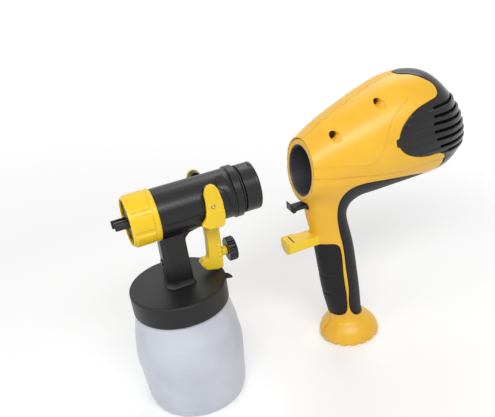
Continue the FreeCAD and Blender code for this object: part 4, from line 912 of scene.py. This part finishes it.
def metal(name, colour, roughness, scratch_mm, stretch=(1.0, 1.0, 1.0)):
    """turned or drawn metal: fine scratches along the work, finer across it"""
    material, tree = blank_material(name)
    place = add_node(tree, "TexCoord").outputs["Object"]
    line = add_node(tree, "Mapping", {"Vector": place, "Scale": stretch})
    scratch = add_node(tree, "TexNoise", {"Vector": line.outputs["Vector"], "Scale": 1000.0 / scratch_mm,
                                          "Detail": 2.0})
    dull = add_node(tree, "MapRange", {"Value": scratch.outputs["Fac"], "To Min": roughness - 0.06,
                                       "To Max": roughness + 0.08})
    bump = add_node(tree, "Bump", {"Height": scratch.outputs["Fac"], "Strength": 0.2, "Distance": 0.00002})
    shader = add_node(tree, "BsdfPrincipled", {"Base Color": hex_colour(colour), "Metallic": 1.0,
                                               "Roughness": dull.outputs["Result"], "Normal": bump.outputs["Normal"]})
    add_node(tree, "OutputMaterial", {"Surface": shader.outputs["BSDF"]})
    return material


FINISHES = [
    (metal("turned_bright_steel", "#C9CACC", 0.22, 0.6, (1.0, 6.0, 6.0)),
     ["needle", "needle_cross_pin", "flow_stop", "motor_shaft", "front_bearing", "rear_bearing", "latch_pin"]),
    (metal("drawn_spring_wire", "#9A9B9E", 0.32, 0.5), ["needle_spring", "slider_spring", "latch_spring"]),
    # shell screws: black oxide finish, whose dark brown tone is also painted shade deep in the screw wells
    (metal("black_oxide_steel_and_well_shade", "#3B3733", 0.45, 0.5), ["shell_screws"]),
    (metal("plated_motor_iron", "#8C8D90", 0.36, 0.8, (6.0, 1.0, 1.0)), ["armature", "motor_can", "field_magnets"]),
    (metal("cast_aluminium", "#B9BABC", 0.42, 1.0), ["fan_wheel"]),
    (metal("turned_brass", "#C9A25A", 0.28, 0.6, (1.0, 6.0, 6.0)), ["fluid_nozzle", "gland_nut"]),
    (moulded_plastic("nitrile_rubber", "#1E1E1F", "#19191A", 0.6, 1.0, 0.04, 1.5),
     ["dock_seal", "nozzle_seal", "needle_packing", "cup_seal", "motor_cushion", "cord_gland"]),
    (moulded_plastic("open_cell_foam", "#2A2A2B", "#161617", 0.85, 1.6, 0.5, 1.4, spread=0.05), ["intake_filter"]),
    (moulded_plastic("pressed_carbon", "#262627", "#1C1C1D", 0.55, 0.8, 0.03), ["carbon_brushes"]),
    (MILKY_PE, ["suction_tube"]),
    (BLACK_SATIN, ["trigger_pivots", "needle_carrier", "rear_guide", "lid_ring", "air_duct", "turbine_housing",
                   "motor_end_cap", "motor_switch"]),
    (BLACK_NYLON, ["air_valve"]),
    (GREY_NYLON, ["outlet_screen"]),
]
for material, names in FINISHES:
    for name in names:
        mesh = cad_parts[name].data
        mesh.materials.clear()
        mesh.materials.append(material)

# Floor, light and camera: a matt white board under a long soft lamp in front, with a weaker lamp at the left and one
# behind at the right. What the camera sees of the board and the background is lifted towards white.


def straight_rays(tree):
    """1 for rays that the camera sends out, also mirrored or let through, and 0 for those that only carry light"""
    path = add_node(tree, "LightPath")
    seen = add_node(tree, "Math", {0: path.outputs["Is Camera Ray"], 1: path.outputs["Is Glossy Ray"]},
                    operation="MAXIMUM")
    return add_node(tree, "Math", {0: seen.outputs[0], 1: path.outputs["Is Transmission Ray"]},
                    operation="MAXIMUM").outputs[0]


def pale_board(near_lift, far_lift):
    """matt white board, lifted to white for the camera and in reflections, least near the part, whose shadow stays"""
    material, tree = blank_material("pale_board")
    board = add_node(tree, "BsdfDiffuse", {"Color": hex_colour("#F4F4F4")})
    place = add_node(tree, "TexCoord")
    reach = add_node(tree, "VectorMath", {0: place.outputs["Object"]}, operation="LENGTH")
    farther = add_node(tree, "MapRange", {"Value": reach.outputs["Value"], "From Min": 0.5, "From Max": 2.2,
                                          "To Min": near_lift, "To Max": far_lift})
    glow = add_node(tree, "Emission", {"Color": (1.0, 1.0, 1.0, 1.0), "Strength": farther.outputs["Result"]})
    lifted = add_node(tree, "AddShader", {0: board.outputs["BSDF"], 1: glow.outputs["Emission"]})
    both = add_node(tree, "MixShader", {0: straight_rays(tree), 1: board.outputs["BSDF"], 2: lifted.outputs["Shader"]})
    add_node(tree, "OutputMaterial", {"Surface": both.outputs["Shader"]})
    return material


floor_mesh = bpy.data.meshes.new("sweep")
floor_mesh.from_pydata([(-6, -6, -0.0005), (6, -6, -0.0005), (6, 6, -0.0005), (-6, 6, -0.0005)], [], [(0, 1, 2, 3)])
floor = bpy.data.objects.new("sweep", floor_mesh)
bpy.context.scene.collection.objects.link(floor)
floor_mesh.materials.append(pale_board(0.22, 0.8))

world = bpy.data.worlds.new("studio")
world.use_nodes = True
world.node_tree.nodes.clear()
soft = add_node(world.node_tree, "Background", {"Color": (1.0, 1.0, 1.0, 1.0), "Strength": 0.34})
plain = add_node(world.node_tree, "Background", {"Color": (1.0, 1.0, 1.0, 1.0), "Strength": 1.0})
blend = add_node(world.node_tree, "MixShader", {0: straight_rays(world.node_tree), 1: soft.outputs["Background"],
                                                2: plain.outputs["Background"]})
add_node(world.node_tree, "OutputWorld", {"Surface": blend.outputs["Shader"]})
bpy.context.scene.world = world


def area_lamp(name, place, aim, size, power):
    light = bpy.data.lights.new(name, "AREA")
    light.shape = "RECTANGLE"
    light.size, light.size_y = size
    light.energy = power
    lamp = bpy.data.objects.new(name, light)
    bpy.context.scene.collection.objects.link(lamp)
    lamp.location = place
    lamp.rotation_euler = (Vector(aim) - Vector(place)).to_track_quat("-Z", "Y").to_euler()


area_lamp("key", (-0.15, -1.15, 1.4), (0.15, 0.0, 0.15), (1.5, 0.4), 15.5)
area_lamp("fill", (-1.2, -0.3, 1.0), (0.15, 0.0, 0.15), (0.8, 0.8), 4.0)
area_lamp("rim", (0.9, 0.9, 1.5), (0.25, 0.0, 0.2), (1.2, 0.9), 8.0)

# The camera stands in front, to the left and above, rolled as in the photograph
TURN, LOOK_DOWN, ROLL = (math.radians(v) for v in (18.6, 26.3, 8.7))
FOCAL_PX, WIDTH_PX, HEIGHT_PX = 718.8, 495.0, 417.0
CAMERA_PLACE = (-0.1262, -0.6391, 0.5305)
right = np.array([math.cos(TURN), -math.sin(TURN), 0.0])
forward = np.array([math.sin(TURN) * math.cos(LOOK_DOWN), math.cos(TURN) * math.cos(LOOK_DOWN), -math.sin(LOOK_DOWN)])
up = np.cross(right, forward)
rolled_right = math.cos(ROLL) * right - math.sin(ROLL) * up
rolled_up = math.sin(ROLL) * right + math.cos(ROLL) * up
camera_data = bpy.data.cameras.new("camera")
camera_data.sensor_fit = "HORIZONTAL"
camera_data.sensor_width = 36.0
camera_data.lens = 36.0 * FOCAL_PX / WIDTH_PX
camera_data.clip_start = 0.05
camera = bpy.data.objects.new("camera", camera_data)
bpy.context.scene.collection.objects.link(camera)
camera.matrix_world = Matrix([[rolled_right[i], rolled_up[i], -forward[i], CAMERA_PLACE[i]] for i in range(3)]
                             + [[0.0, 0.0, 0.0, 1.0]])
bpy.context.scene.camera = camera
bpy.context.scene.view_settings.view_transform = "Standard"
